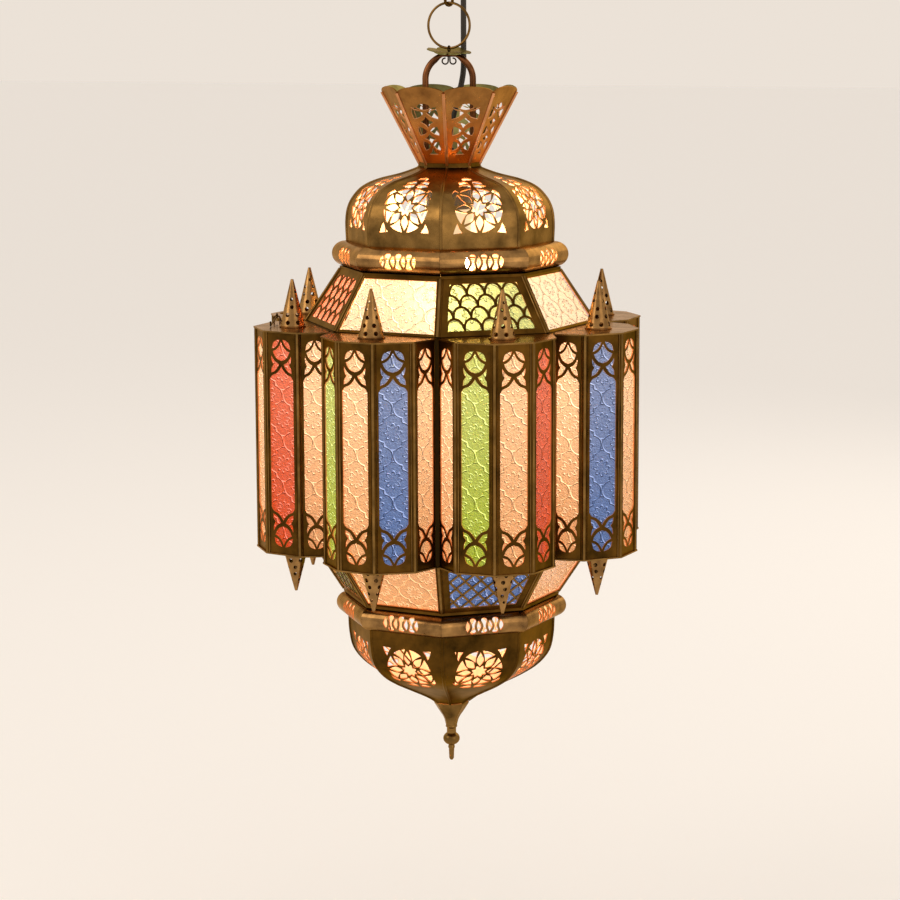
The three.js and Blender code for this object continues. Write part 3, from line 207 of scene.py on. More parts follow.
MM = 0.001
SIDES = 8
FACE_TURN = 360 / SIDES
DOOR_TURN = 180
HALF_SIDE = math.tan(math.radians(FACE_TURN / 2))
TO_CORNER = 1 / math.cos(math.radians(FACE_TURN / 2))

# What a face of a shape is: the brass outside, the side lit by the bulb, a cut edge, a ridge that takes brighter
# brass, partly wear from wiping and partly a painted highlight, or a part kept bright, partly by wiping and partly as
# a painted highlight
OUTSIDE, INSIDE, CUT, RIDGE, BRIGHT = 0, 1, 2, 3, 4

# Dome and bowl along the middle of a side: distance from the axis, and height from the wide edge
DOME = [(78, 0), (78.4, 15.5), (76.9, 27), (72.6, 36.1), (65.2, 44.1), (53.6, 49.8)]
DOME += [(36.7, 54.4), (23.9, 59.4), (22.4, 61.7)]
BOWL = [(79.2, 0), (78.4, 15.6), (75.4, 29.1), (67.2, 40.3), (55.1, 49.2), (38.9, 58.1)]
BOWL += [(22.6, 67.1), (13.6, 73.7)]

# Route of the power cable in the lantern: across, across and height from the drum's top
CABLE_PLACE = (1.8, 22.3)
CABLE_ROUTE = [(1.9, 22.1, 210.5), (2.3, 21.2, 205.5), (2.8, 19.4, 200.5), (3.2, 16.7, 195)]
CABLE_ROUTE += [(3.4, 13.8, 189.5), (3.4, 10.8, 184), (3.2, 8.2, 178.5), (2.7, 5.8, 173)]
CABLE_ROUTE += [(2.0, 3.7, 167.5), (1.3, 1.9, 162), (0.6, 0.7, 156.5), (0.1, 0.1, 151)]
CABLE_ROUTE += [(0, 0, 145)]

# Colours of a bay's second and fourth pane, from the door round the lantern
BAY_COLOURS = [("red", "green"), ("blue", "red"), ("green", "blue"), ("green", "red")]
BAY_COLOURS += [("blue", "green"), ("red", "blue"), ("green", "red"), ("blue", "green")]
UPPER_COLOURS = ["clear", "red", "clear", "green", "clear", "blue", "clear", "green"]
LOWER_COLOURS = ["clear", "green", "clear", "blue", "clear", "red", "clear", "blue"]

BULB_RADIUS = 30
# Bead along the seams of crown, dome and bowl
BEAD_RADIUS = 1.3
# Wire of the eye and the staple that the door's hook works with
LATCH_WIRE = 0.65
# Turns of the first chain link and of the hanging ring about Z, in degrees
CHAIN_TURN = 55.3
RING_TURN = 4.7
# Turn of the photograph's left-to-right direction, and of the camera, from the X axis
SIDEWAYS = math.radians(27.3)


def linear(hex_colour):
    """Linear red, green and blue of an sRGB hex colour"""
    parts = [int(hex_colour[i : i + 2], 16) / 255 for i in (1, 3, 5)]
    return tuple(c / 12.92 if c <= 0.04045 else ((c + 0.055) / 1.055) ** 2.4 for c in parts)


def opaque(hex_colour):
    """The same colour with the opacity that nodes ask for"""
    return (*linear(hex_colour), 1)


def length(name, millimetres, description):
    return FloatProperty(
        name=name, description=description, default=millimetres * MM, min=0, unit="LENGTH"
    )


def colour(name, hex_colour, description):
    return FloatVectorProperty(
        name=name,
        description=description,
        default=linear(hex_colour),
        size=3,
        min=0,
        max=1,
        subtype="COLOR",
    )


class LanternSizes(PropertyGroup):
    """Sizes of the lantern's pieces"""

    sheet: length("Sheet", 1, "Thickness of the brass sheet")
    glass: length("Glass", 2.2, "Thickness of the pressed glass")
    gap: length("Gap", 0.3, "Gap between a pane and the brass before it")
    drum_flat: length("Drum", 112.9, "Axis to the middle of a side of the drum")
    bay_depth: length("Bay depth", 47.1, "How far a bay's front stands out of the drum")
    shoulder_depth: length("Shoulder depth", 26.7, "How far a bay's shoulder stands out")
    shoulder_inset: length("Shoulder inset", 6.4, "How far a bay narrows at its shoulder")
    front_half: length("Front half", 15.7, "Half the width of a bay's front pane")
    post: length("Post", 3, "Radius of the drum's corner posts")
    plate: length("Plate", 1.2, "Thickness of a bay's top and bottom plate")
    plate_lip: length("Plate lip", 1.4, "How far a bay's plates stand past its panes")
    border: length("Border", 4.3, "Sheet between a fold of a bay and a window")
    valley_border: length("Valley border", 1.3, "Sheet between a bay's outer window and the drum")
    came_half: length("Came", 3, "Half the width of a came on a bay's fold")
    came_rise: length("Came rise", 1.1, "Height of a came above the sheet")
    spire_depth: length("Spire place", 20, "Distance of a spire from the drum's side")
    spire_radius: length("Spire", 10.4, "Radius of a spire's foot")
    spire_tip: length("Spire tip", 1.1, "Radius of a spire's tip")
    skirt_inset: length("Skirt inset", 2.9, "Drum's side to a skirt's wide edge")
    ring_flat: length("Ring", 79.3, "Axis to the centre line of the ring mouldings")
    ring_flange: length("Flange", 4, "Width of the ring mouldings' flanges")
    crown_top: length("Crown top", 50.6, "Axis to the middle of a side at the crown's top")
    neck: length("Neck", 22.4, "Axis to the middle of a side at the neck")
    arch_half: length("Arch half", 19.2, "Half the width of the hanger arch")
    arch_bar: length("Arch bar", 2.6, "Radius of the arch's bar")
    arch_top: length("Arch top", 2.8, "Thickness of the arch's flattened top")
    cable: length("Cable", 2.35, "Radius of the power cable")


class LanternColours(PropertyGroup):
    """Colours of the lantern's finishes"""

    brass: colour("Aged brass", "#684718", "Lighter parts of the aged brass")
    patina: colour("Patina", "#302109", "Darkened parts of the aged brass")
    # Worn and rubbed brass are lighter partly from wear and partly as painted highlights and glow
    worn: colour("Worn brass", "#94703c", "Dome, ridges, finial and hanging ring")
    rubbed: colour("Rubbed brass", "#b08650", "Spires, ring mouldings and top plates")
    copper: colour("Copper tone", "#a8743a", "Crown, where the brass is red")
    clear: colour("Clear glass", "#e4ac74", "Uncoloured panes, lit by the bulb")
    red: colour("Red glass", "#d24a04", "Red panes")
    # Red glass painted as lit by the bulb: orange and brighter, for the red pane nearest it
    amber: colour("Amber glass", "#ea6c12", "Pane of the upper skirt beside the door")
    green: colour("Green glass", "#a4b42a", "Green panes")
    blue: colour("Blue glass", "#5572a8", "Blue panes")
    backdrop: colour("Backdrop", "#f1e7dc", "Floor and surroundings")


def millimetres():
    """The lantern's sizes in millimetres, by name"""
    sizes = bpy.context.scene.lantern_sizes
    return {name: getattr(sizes, name) / MM for name in LanternSizes.__annotations__}


def tone(name):
    return (*getattr(bpy.context.scene.lantern_colours, name), 1)


def span(node):
    """Lowest and highest point of a CAD node in millimetres"""
    low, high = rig.box(node)
    return low.z / MM, high.z / MM


# Shapes


class Shape:
    """Points in millimetres, faces on them, what each face is, and the points' place before bending"""

    def __init__(self, points, corners, counts, kinds, flat=None):
        self.points = np.asarray(points, float).reshape(-1, 3)
        self.corners = np.asarray(corners, int)
        self.counts = np.asarray(counts, int)
        self.kinds = np.asarray(kinds, int)
        self.flat = self.points[:, :2].copy() if flat is None else flat

    def placed(self, place):
        """The same faces, with every point moved by a function of all points"""
        return Shape(place(self.points), self.corners, self.counts, self.kinds, self.flat)

    def shifted(self, x=0, y=0, z=0):
        return self.placed(lambda points: points + (x, y, z))

    def turned(self, turn):
        """Turned about Z by this many degrees"""
        return self.placed(lambda points: turned_points(points, turn))


def turned_points(points, turn):
    c = math.cos(math.radians(turn))
    s = math.sin(math.radians(turn))
    x, y, z = np.asarray(points, float).T
    return np.stack([x * c - y * s, x * s + y * c, z], axis=1)


def joined(shapes):
    """Several shapes as one"""
    points = np.concatenate([shape.points for shape in shapes])
    starts = np.cumsum([0] + [len(shape.points) for shape in shapes[:-1]])
    corners = np.concatenate([shape.corners + start for shape, start in zip(shapes, starts)])
    counts = np.concatenate([shape.counts for shape in shapes])
    kinds = np.concatenate([shape.kinds for shape in shapes])
    flat = np.concatenate([shape.flat for shape in shapes])
    return Shape(points, corners, counts, kinds, flat)


def all_round(shape, turns=range(SIDES)):
    """Copies of a shape on the sides of the octagon"""
    return joined([shape.turned(FACE_TURN * k) for k in turns])


def grid(rows, close_rows=False, close_columns=False, kind=OUTSIDE):
    """Four-cornered faces over rows of points with the same count"""
    rows = np.asarray(rows, float)
    count, width = rows.shape[:2]
    down = np.arange(count if close_rows else count - 1)
    side = np.arange(width if close_columns else width - 1)
    i, k = (a.ravel() for a in np.meshgrid(down, side, indexing="ij"))
    below = (i + 1) % count
    beside = (k + 1) % width
    quads = [i * width + k, below * width + k, below * width + beside, i * width + beside]
    corners = np.stack(quads, axis=1).ravel()
    return Shape(rows.reshape(-1, 3), corners, np.full(len(i), 4), np.full(len(i), kind))


def lathe(profile, segments=48, start=0.0, kind=OUTSIDE):
    """A profile of radius and height turned about Z"""
    rows = []
    for radius, z in profile:
        turns = np.radians(start) + 2 * np.pi * np.arange(segments) / segments
        ring = [radius * np.cos(turns), radius * np.sin(turns), np.full(segments, z)]
        rows.append(np.stack(ring, axis=1))
    return grid(rows, close_columns=True, kind=kind)


def spline(points, per_span=6, closed=False):
    """Points along a smooth curve through the given ones"""
    given = np.asarray(points, float)
    if closed:
        ends = np.vstack([given[-1], given, given[0], given[1]])
    else:
        ends = np.vstack([2 * given[0] - given[1], given, 2 * given[-1] - given[-2]])
    out = []
    for a, b, c, d in zip(ends, ends[1:], ends[2:], ends[3:]):
        for t in np.arange(per_span) / per_span:
            bend = (2 * a - 5 * b + 4 * c - d) * t * t + (3 * b - a - 3 * c + d) * t**3
            out.append(0.5 * (2 * b + (c - a) * t + bend))
    if not closed:
        out.append(given[-1])
    return np.array(out)


def outline(*arcs, per_span=5):
    """A closed outline from arcs that meet in corners, each a smooth curve through its points"""
    parts = [spline(arc, per_span)[:-1] if len(arc) > 2 else np.asarray(arc[:1]) for arc in arcs]
    return np.concatenate(parts)


def mirrored(points):
    """The outline on the other side of the middle"""
    return np.asarray(points)[::-1] * (-1, 1)


def narrowed(loop, distance):
    """The outline of an opening drawn in, so that the bars round it are wider"""
    loop = np.asarray(loop, float)
    ahead = np.roll(loop, -1, axis=0) - np.roll(loop, 1, axis=0)
    x, y = loop.T
    area = np.sum(x * np.roll(y, -1) - np.roll(x, -1) * y)
    inward = np.stack([-ahead[:, 1], ahead[:, 0]], axis=1) * np.sign(area)
    return loop + inward / np.linalg.norm(inward, axis=1)[:, None] * distance


def swept(points, outs, section, closed=False):
    """A section of across and out, carried along points whose outward directions are known"""
    points = np.asarray(points, float)
    outs = np.asarray(outs, float)
    if closed:
        ahead = np.roll(points, -1, axis=0) - np.roll(points, 1, axis=0)
    else:
        ahead = np.gradient(points, axis=0)
    ahead /= np.linalg.norm(ahead, axis=1)[:, None]
    outs = outs - ahead * np.sum(outs * ahead, axis=1)[:, None]
    outs /= np.linalg.norm(outs, axis=1)[:, None]
    across = np.cross(ahead, outs)
    rows = [p + np.outer([s[0] for s in section], a) + np.outer([s[1] for s in section], o)
            for p, a, o in zip(points, across, outs)]
    shape = grid(rows, close_rows=closed, close_columns=True)
    if closed:
        return shape
    count, width = len(points), len(section)
    caps = [np.arange(width)[::-1], np.arange(width) + (count - 1) * width]
    corners = np.concatenate([shape.corners, *caps])
    counts = np.concatenate([shape.counts, [width, width]])
    return Shape(shape.points, corners, counts, np.full(len(counts), OUTSIDE))


def wire(points, radius, sides=12, closed=False, out=(0.0, 0.0, 1.0)):
    """A round wire along points; out is any direction that the wire never runs along"""
    turns = 2 * np.pi * np.arange(sides) / sides
    section = np.stack([radius * np.cos(turns), radius * np.sin(turns)], axis=1)
    points = np.asarray(points, float)
    return swept(points, np.tile(out, (len(points), 1)), section, closed)


def hole_distance(points, loop):
    """Distance of points to a closed outline"""
    ends = np.roll(loop, -1, axis=0)
    run = ends - loop
    t = np.einsum("pij,ij->pi", points[:, None] - loop, run) / np.maximum(np.sum(run**2, axis=1), 1e-9)
    near = loop + np.clip(t, 0, 1)[..., None] * run
    return np.linalg.norm(points[:, None] - near, axis=2).min(axis=1)


def pierced(edge, holes, thickness, bends=(), folds=(), rim=OUTSIDE):
    """A flat sheet cut from a filled curve: x across, y up and its face at z = 0

    Bends are levels of y and folds are levels of x where the sheet can be bent afterwards. The
    rim is what the faces along its outer edge are.
    """
    curve = bpy.data.curves.new("sheet", "CURVE")
    curve.dimensions = "2D"
    curve.fill_mode = "BOTH"
    curve.extrude = thickness / 2
    for loop in [edge, *holes]:
        line = curve.splines.new("POLY")
        line.points.add(len(loop) - 1)
        line.points.foreach_set("co", [c for x, y in loop for c in (x, y, 0, 1)])
        line.use_cyclic_u = True
    holder = bpy.data.objects.new("sheet", curve)
    flat = bpy.data.meshes.new_from_object(holder)
    cut = bmesh.new()
    cut.from_mesh(flat)
    bmesh.ops.remove_doubles(cut, verts=cut.verts, dist=1e-4)
    levels = [((0, y, 0), (0, 1, 0)) for y in bends] + [((x, 0, 0), (1, 0, 0)) for x in folds]
    for place, normal in levels:
        everything = cut.verts[:] + cut.edges[:] + cut.faces[:]
        bmesh.ops.bisect_plane(cut, geom=everything, plane_co=place, plane_no=normal)
    cut.normal_update()
    cut.verts.index_update()
    points = np.array([v.co for v in cut.verts])
    faces = [[v.index for v in face.verts] for face in cut.faces]
    middles = np.array([face.calc_center_median() for face in cut.faces])
    lean = np.array([face.normal.z for face in cut.faces])
    cut.free()
    bpy.data.objects.remove(holder)
    bpy.data.curves.remove(curve)
    bpy.data.meshes.remove(flat)
    kinds = np.where(lean > 0.5, OUTSIDE, np.where(lean < -0.5, INSIDE, CUT))
    sides = np.flatnonzero(kinds == CUT)
    at_edge = hole_distance(middles[sides, :2], np.asarray(edge, float)) < 0.02
    kinds[sides[at_edge]] = rim
    points[:, 2] -= thickness / 2
    counts = [len(face) for face in faces]
    return Shape(points, np.concatenate(faces), counts, kinds)


class SidePath:
    """The outside of a side from its foot up: distance from the axis and height, by length along it"""

    def __init__(self, points):
        self.points = np.asarray(points, float)
        steps = np.linalg.norm(np.diff(self.points, axis=0), axis=1)
        self.marks = np.concatenate([[0], np.cumsum(steps)])
        self.length = self.marks[-1]

    def at(self, along):
        out = np.interp(along, self.marks, self.points[:, 0])
        return out, np.interp(along, self.marks, self.points[:, 1])

    def normal(self, along):
        near = 0.3
        low = np.stack(self.at(np.maximum(along - near, 0)))
        high = np.stack(self.at(np.minimum(along + near, self.length)))
        rise = high - low
        facing = np.stack([rise[1], -rise[0]])
        return facing / np.linalg.norm(facing, axis=0)

    def place(self, points):
        """Bends a flat sheet to the side that faces +X"""
        across, along, depth = points.T
        out, height = self.at(along)
        normal_out, normal_up = self.normal(along)
        return np.stack([out + depth * normal_out, across, height + depth * normal_up], axis=1)

    def edge(self, step=2.0, gap=0.1):
        """The outline of one side between two corners"""
        along = np.unique(np.append(np.arange(0, self.length, step), [self.length, *self.marks]))
        half = self.at(along)[0] * HALF_SIDE - gap
        right = np.stack([half, along], axis=1)
        return np.concatenate([right, (right * (-1, 1))[::-1]]), along[1:-1]

    def corner_line(self, step=2.0):
        """Points and outward directions along the corner between two sides"""
        along = np.unique(np.append(np.arange(0, self.length, step), self.length))
        out, height = self.at(along)
        normal_out, normal_up = self.normal(along)
        radius = out * TO_CORNER
        points = np.stack([radius, np.zeros_like(radius), height], axis=1)
        outs = np.stack([normal_out, np.zeros_like(radius), normal_up], axis=1)
        return turned_points(points, FACE_TURN / 2), turned_points(outs, FACE_TURN / 2)


def seam(points, outs, half, rise, fold, groove=0.0):
    """Raised strip over a fold, with legs down both sides, a groove in each leg and ridges brightened by wear and by a
    painted highlight
    """
    c, s = math.cos(math.radians(fold)), math.sin(math.radians(fold))
    legs = [(half, 0.0), (half * 0.88, rise * 0.65), (half * 0.72, rise)]
    legs += [(half * 0.55, rise - groove), (half * 0.4, rise - groove * 0.8), (half * 0.2, rise)]
    right = [(t * c + r * s, -t * s + r * c) for t, r in legs]
    left = [(-x, y) for x, y in right[::-1]]
    under = [(-right[0][0] * 0.9, right[0][1] - 0.5), (right[0][0] * 0.9, right[0][1] - 0.5)]
    section = right + left + under
    strip = swept(points, outs, section)
    count = len(legs)
    # The ridges take a brighter brass: partly wear, partly a painted highlight
    strip.kinds[:-2].reshape(-1, len(section))[:, [1, count - 1, 2 * count - 3]] = RIDGE
    return strip


def bead(points, outs):
    """Round bead along a seam"""
    turns = np.radians(np.arange(0, 360, 30))
    return swept(points, outs, [(BEAD_RADIUS * math.cos(t), BEAD_RADIUS * math.sin(t)) for t in turns])


def piece(name, shape, names, body, replaces=(), slot=None, sharp=34):
    """A shape as a Blender object in the row frame, riding on a CAD body, with its finishes by name"""
    mesh = bpy.data.meshes.new(name)
    mesh.vertices.add(len(shape.points))
    mesh.vertices.foreach_set("co", (shape.points * MM).ravel())
    mesh.loops.add(len(shape.corners))
    mesh.loops.foreach_set("vertex_index", shape.corners)
    mesh.polygons.add(len(shape.counts))
    starts = np.concatenate([[0], np.cumsum(shape.counts)[:-1]])
    mesh.polygons.foreach_set("loop_start", starts)
    mesh.polygons.foreach_set("material_index", np.minimum(shape.kinds, len(names) - 1))
    mesh.update(calc_edges=True)
    layer = mesh.uv_layers.new(name="sheet_mm")
    layer.data.foreach_set("uv", shape.flat[shape.corners].ravel())
    work = bmesh.new()
    work.from_mesh(mesh)
    bmesh.ops.remove_doubles(work, verts=work.verts, dist=0.002 * MM)
    bmesh.ops.dissolve_degenerate(work, edges=work.edges, dist=0.001 * MM)
    bmesh.ops.recalc_face_normals(work, faces=work.faces)
    work.to_mesh(mesh)
    work.free()
    mesh.shade_smooth()
    mesh.set_sharp_from_angle(angle=math.radians(sharp))
    for finish in names:
        mesh.materials.append(finish_named(finish))
    thing = bpy.data.objects.new(name, mesh)
    bpy.context.scene.collection.objects.link(thing)
    if body:
        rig.ride(thing, body)
    if replaces:
        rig.replaces(thing, *replaces)
    if slot:
        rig.slot(thing, slot)
    return thing


def dress(nodes, name):
    """Gives CAD nodes that stay in view their finish"""
    for node in nodes:
        mesh = frame["nodes"][node].data
        mesh.materials.clear()
        mesh.materials.append(finish_named(name))


# Materials


def add_node(tree, kind, settings=None, links=None):
    """A shader node, with its settings and inputs by name or number, and what feeds its inputs"""
    node = tree.nodes.new("ShaderNode" + kind)
    for name, value in (settings or {}).items():
        if isinstance(name, str) and hasattr(node, name):
            setattr(node, name, value)
        else:
            node.inputs[name].default_value = value
    for name, source in (links or {}).items():
        tree.links.new(source, node.inputs[name])
    return node


def new_material(name, settings):
    """A material with its shader, to which patterns are linked afterwards"""
    made = bpy.data.materials.new(name)
    made.use_nodes = True
    tree = made.node_tree
    tree.nodes.clear()
    shader = add_node(tree, "BsdfPrincipled", settings)
    add_node(tree, "OutputMaterial", {}, {"Surface": shader.outputs["BSDF"]})
    return made, tree, shader


def per_metre(size_mm):
    """Scale of a noise whose features are this many millimetres across"""
    return 1 / (size_mm * MM)


def brass(name, rubbed, dark, roughness, patches=24, painted_glow=None):
    """Sheet brass, rolled, bent and left to tarnish: satin, with dark patches and rubbed ones

    A painted glow, warm light painted into the colour, has a colour and the heights between which it fades out.
    """
    # Seen along the sheet, brass stays yellow instead of turning grey
    edge_tint = opaque("#f2d8b8")
    made, tree, shader = new_material(name, {"Metallic": 1.0, "Specular Tint": edge_tint})
    place = add_node(tree, "TexCoord").outputs["Object"]
    # Tarnish grows in patches as wide as a finger's touch
    tarnish = add_node(
        tree,
        "TexNoise",
        {"Scale": per_metre(patches), "Detail": 5.0, "Roughness": 0.6},
        {"Vector": place},
    )
    amount = add_node(
        tree, "MapRange", {"From Min": 0.32, "From Max": 0.72}, {"Value": tarnish.outputs["Fac"]}
    )
    mix = add_node(
        tree, "Mix", {"data_type": "RGBA", 6: rubbed, 7: dark}, {0: amount.outputs["Result"]}
    )
    # Painted light: a warm glow mixed into the colour, fading out between two heights
    if painted_glow:
        glow_hue, glow_full, glow_gone = painted_glow
        height = add_node(tree, "SeparateXYZ", {}, {0: place})
        fading = add_node(
            tree,
            "MapRange",
            {"From Min": glow_full * MM, "From Max": glow_gone * MM, "To Min": 0.85, "To Max": 0.0},
            {"Value": height.outputs["Z"]},
        )
        mix = add_node(
            tree,
            "Mix",
            {"data_type": "RGBA", 7: opaque(glow_hue)},
            {0: fading.outputs["Result"], 6: mix.outputs[2]},
        )
    # Grain of the rolled and wiped sheet, about 0.6 mm wide, drawn as coarse as the render can show
    grain = add_node(tree, "TexNoise", {"Scale": per_metre(0.6), "Detail": 3.0}, {"Vector": place})
    gloss = add_node(
        tree,
        "MapRange",
        {"To Min": roughness - 0.08, "To Max": roughness + 0.12},
        {"Value": tarnish.outputs["Fac"]},
    )
    # Dents of the hand-made sheet, some 9 mm across and a few hundredths deep
    dents = add_node(tree, "TexNoise", {"Scale": per_metre(9), "Detail": 2.0}, {"Vector": place})
    height = add_node(
        tree,
        "Math",
        {"operation": "MULTIPLY_ADD", 1: 0.12},
        {0: grain.outputs["Fac"], 2: dents.outputs["Fac"]},
    )
    bump = add_node(
        tree, "Bump", {"Strength": 0.25, "Distance": 0.35 * MM}, {"Height": height.outputs["Value"]}
    )
    tree.links.new(mix.outputs[2], shader.inputs["Base Color"])
    tree.links.new(gloss.outputs["Result"], shader.inputs["Roughness"])
    tree.links.new(bump.outputs["Normal"], shader.inputs["Normal"])
    return made


def nearness(tree, place, near, far):
    """1 up to a distance from the middle of the bulb in millimetres, and 0 from a farther one on"""
    middle = (0, 0, (span("bulb")[0] + BULB_RADIUS) * MM)
    reach = add_node(tree, "VectorMath", {"operation": "DISTANCE", 1: middle}, {0: place})
    share = add_node(
        tree,
        "MapRange",
        {
            "interpolation_type": "SMOOTHSTEP",
            "From Min": near * MM,
            "From Max": far * MM,
            "To Min": 1.0,
            "To Max": 0.0,
        },
        {"Value": reach.outputs["Value"]},
    )
    return share.outputs["Result"]


def lit_brass(name, hex_colour, strength, glow, far_glow):
    """The same sheet on the side or cut edge that the bulb lights: brass with a painted glow, an emission that stands
    in for the bulb's light on it
    """
    made, tree, shader = new_material(
        name, {"Metallic": 1.0, "Roughness": 0.5, "Emission Strength": strength}
    )
    place = add_node(tree, "TexCoord").outputs["Object"]
    # The bulb's light is pale in the dome and deeper in the bowl, 300 mm away from it
    light = add_node(
        tree,
        "Mix",
        {"data_type": "RGBA", 6: opaque(far_glow), 7: opaque(glow)},
        {0: nearness(tree, place, 110, 300)},
    )
    tree.links.new(light.outputs[2], shader.inputs["Emission Color"])
    # Uneven patches, some 15 mm across, mix the glow's colour into the brass colour: painted light in the base colour,
    # made uneven like tarnish so the lit side is not even
    uneven = add_node(tree, "TexNoise", {"Scale": per_metre(15), "Detail": 3.0}, {"Vector": place})
    mix = add_node(
        tree,
        "Mix",
        {"data_type": "RGBA", 6: opaque(glow), 7: opaque(hex_colour)},
        {0: uneven.outputs["Fac"]},
    )
    tree.links.new(mix.outputs[2], shader.inputs["Base Color"])
    return made


def pressed_glass(name, tint, glow, paling, relief):
    """Glass pressed in a patterned mould, lit from behind: glossy, with flowers in four-lobed frames

    Near the bulb it goes paler, a painted glare of the bulb. The relief is how sharp the mould's lines still are.
    """
    made, tree, shader = new_material(
        name, { "Roughness": 0.14, "IOR": 1.5, "Transmission Weight": 0.35, "Emission Strength": glow, }
    )

    def number(operation, *values):
        """A sum node fed by numbers and outputs in turn"""
        settings = {i: v for i, v in enumerate(values) if isinstance(v, (int, float))}
        links = {i: v for i, v in enumerate(values) if not isinstance(v, (int, float))}
        node = add_node(tree, "Math", {"operation": operation, **settings}, links)
        return node.outputs["Value"]

    # The mould's flowers stand in upright rows 29 mm apart and 37 mm from one to the next, and
    # every second row is half a step higher
    wide, tall = 14.5, 18.5
    uv = add_node(tree, "UVMap", {"uv_map": "sheet_mm"}).outputs["UV"]
    moved = add_node(tree, "VectorMath", {"operation": "ADD", 1: (wide, tall, 0)}, {0: uv})
    cells = []
    for source in (uv, moved.outputs["Vector"]):
        cell = add_node(
            tree,
            "VectorMath",
            {"operation": "WRAP", 1: (wide, tall, 1), 2: (-wide, -tall, -1)},
            {0: source},
        )
        reach = add_node(tree, "VectorMath", {"operation": "LENGTH"}, {0: cell.outputs["Vector"]})
        cells.append((cell.outputs["Vector"], reach.outputs["Value"]))
    (first, first_reach), (second, second_reach) = cells
    nearer = number("LESS_THAN", second_reach, first_reach)
    own = add_node(tree, "Mix", {"data_type": "VECTOR"}, {0: nearer, 4: first, 5: second})
    parts = add_node(tree, "SeparateXYZ", {}, {0: own.outputs[1]})
    radius = number("MINIMUM", first_reach, second_reach)
    turn = number("ARCTAN2", parts.outputs["Y"], parts.outputs["X"])
    lobes = number("ABSOLUTE", number("COSINE", number("MULTIPLY", turn, 2.0)))
    petals = number("ABSOLUTE", number("COSINE", number("MULTIPLY", turn, 4.0)))
    frame_reach = number("MULTIPLY_ADD", lobes, 3.6, 10.6)
    flower_reach = number("MULTIPLY_ADD", petals, 3.3, 3.3)
    frame_line = number("ABSOLUTE", number("SUBTRACT", radius, frame_reach))
    flower_line = number("ABSOLUTE", number("SUBTRACT", radius, flower_reach))
    # The mould's lines are 0.8 mm wide; drawn 2 mm wide, they show at the photograph's size
    lines = add_node(
        tree,
        "MapRange",
        {"interpolation_type": "SMOOTHSTEP", "From Max": 1.0, "To Min": 1.0, "To Max": 0.0},
        {"Value": number("MINIMUM", frame_line, flower_line)},
    ).outputs["Result"]
    # Feathery grain between the lines, some 1.8 mm across
    grain = add_node(
        tree,
        "TexNoise",
        {"Scale": 1 / 1.8, "Detail": 2.0, "Roughness": 0.55, "Distortion": 0.8},
        {"Vector": uv},
    ).outputs["Fac"]
    height = number("MULTIPLY_ADD", lines, relief, number("MULTIPLY", grain, 0.65))
    bump = add_node(tree, "Bump", {"Strength": 1.0, "Distance": 0.9 * MM}, {"Height": height})
    # Painted light and shade of the relief, as the bulb's light bent by it would look: slopes that face up and aside
    # are painted bright, the others dark, with a white glint on the brightest
    surface = add_node(tree, "NewGeometry")
    lean = add_node(
        tree,
        "VectorMath",
        {"operation": "SUBTRACT"},
        {0: bump.outputs["Normal"], 1: surface.outputs["Normal"]},
    )
    slope = add_node(
        tree,
        "VectorMath",
        {"operation": "DOT_PRODUCT", 1: (0.45, 0.3, 0.84)},
        {0: lean.outputs["Vector"]},
    )
    shade = number("MULTIPLY_ADD", slope.outputs["Value"], 2.1, 0.92)
    shade = number("MAXIMUM", shade, 0.3)
    glint = number("MAXIMUM", number("MULTIPLY_ADD", slope.outputs["Value"], 0.55, -0.12), 0.0)
    white = add_node(tree, "CombineXYZ", {}, {"X": glint, "Y": glint, "Z": glint})
    place = add_node(tree, "TexCoord").outputs["Object"]
    near = nearness(tree, place, 80, 240)
    pale = add_node(
        tree,
        "Mix",
        {"data_type": "RGBA", 6: tint, 7: opaque("#fff0d0")},
        {0: number("MULTIPLY", near, paling)},
    )
    shade = number("MULTIPLY", shade, number("MULTIPLY_ADD", near, 0.22, 0.9))
    body = add_node(tree, "VectorMath", {"operation": "SCALE"}, {0: pale.outputs[2], "Scale": shade})
    lit = add_node(
        tree,
        "VectorMath",
        {"operation": "ADD"},
        {0: body.outputs["Vector"], 1: white.outputs["Vector"]},
    )
    tree.links.new(lit.outputs["Vector"], shader.inputs["Base Color"])
    tree.links.new(lit.outputs["Vector"], shader.inputs["Emission Color"])
    tree.links.new(bump.outputs["Normal"], shader.inputs["Normal"])
    return made


def plain(name, hex_colour, settings, grain_mm):
    """Moulded plastic, rubber or enamel: one colour with a fine uneven surface"""
    made, tree, shader = new_material(name, {"Base Color": opaque(hex_colour), **settings})
    place = add_node(tree, "TexCoord").outputs["Object"]
    grain = add_node(tree, "TexNoise", {"Scale": per_metre(grain_mm), "Detail": 2.0}, {"Vector": place})
    bump = add_node(
        tree, "Bump", {"Strength": 0.2, "Distance": 0.05 * MM}, {"Height": grain.outputs["Fac"]}
    )
    tree.links.new(bump.outputs["Normal"], shader.inputs["Normal"])
    return made


finishes = {}


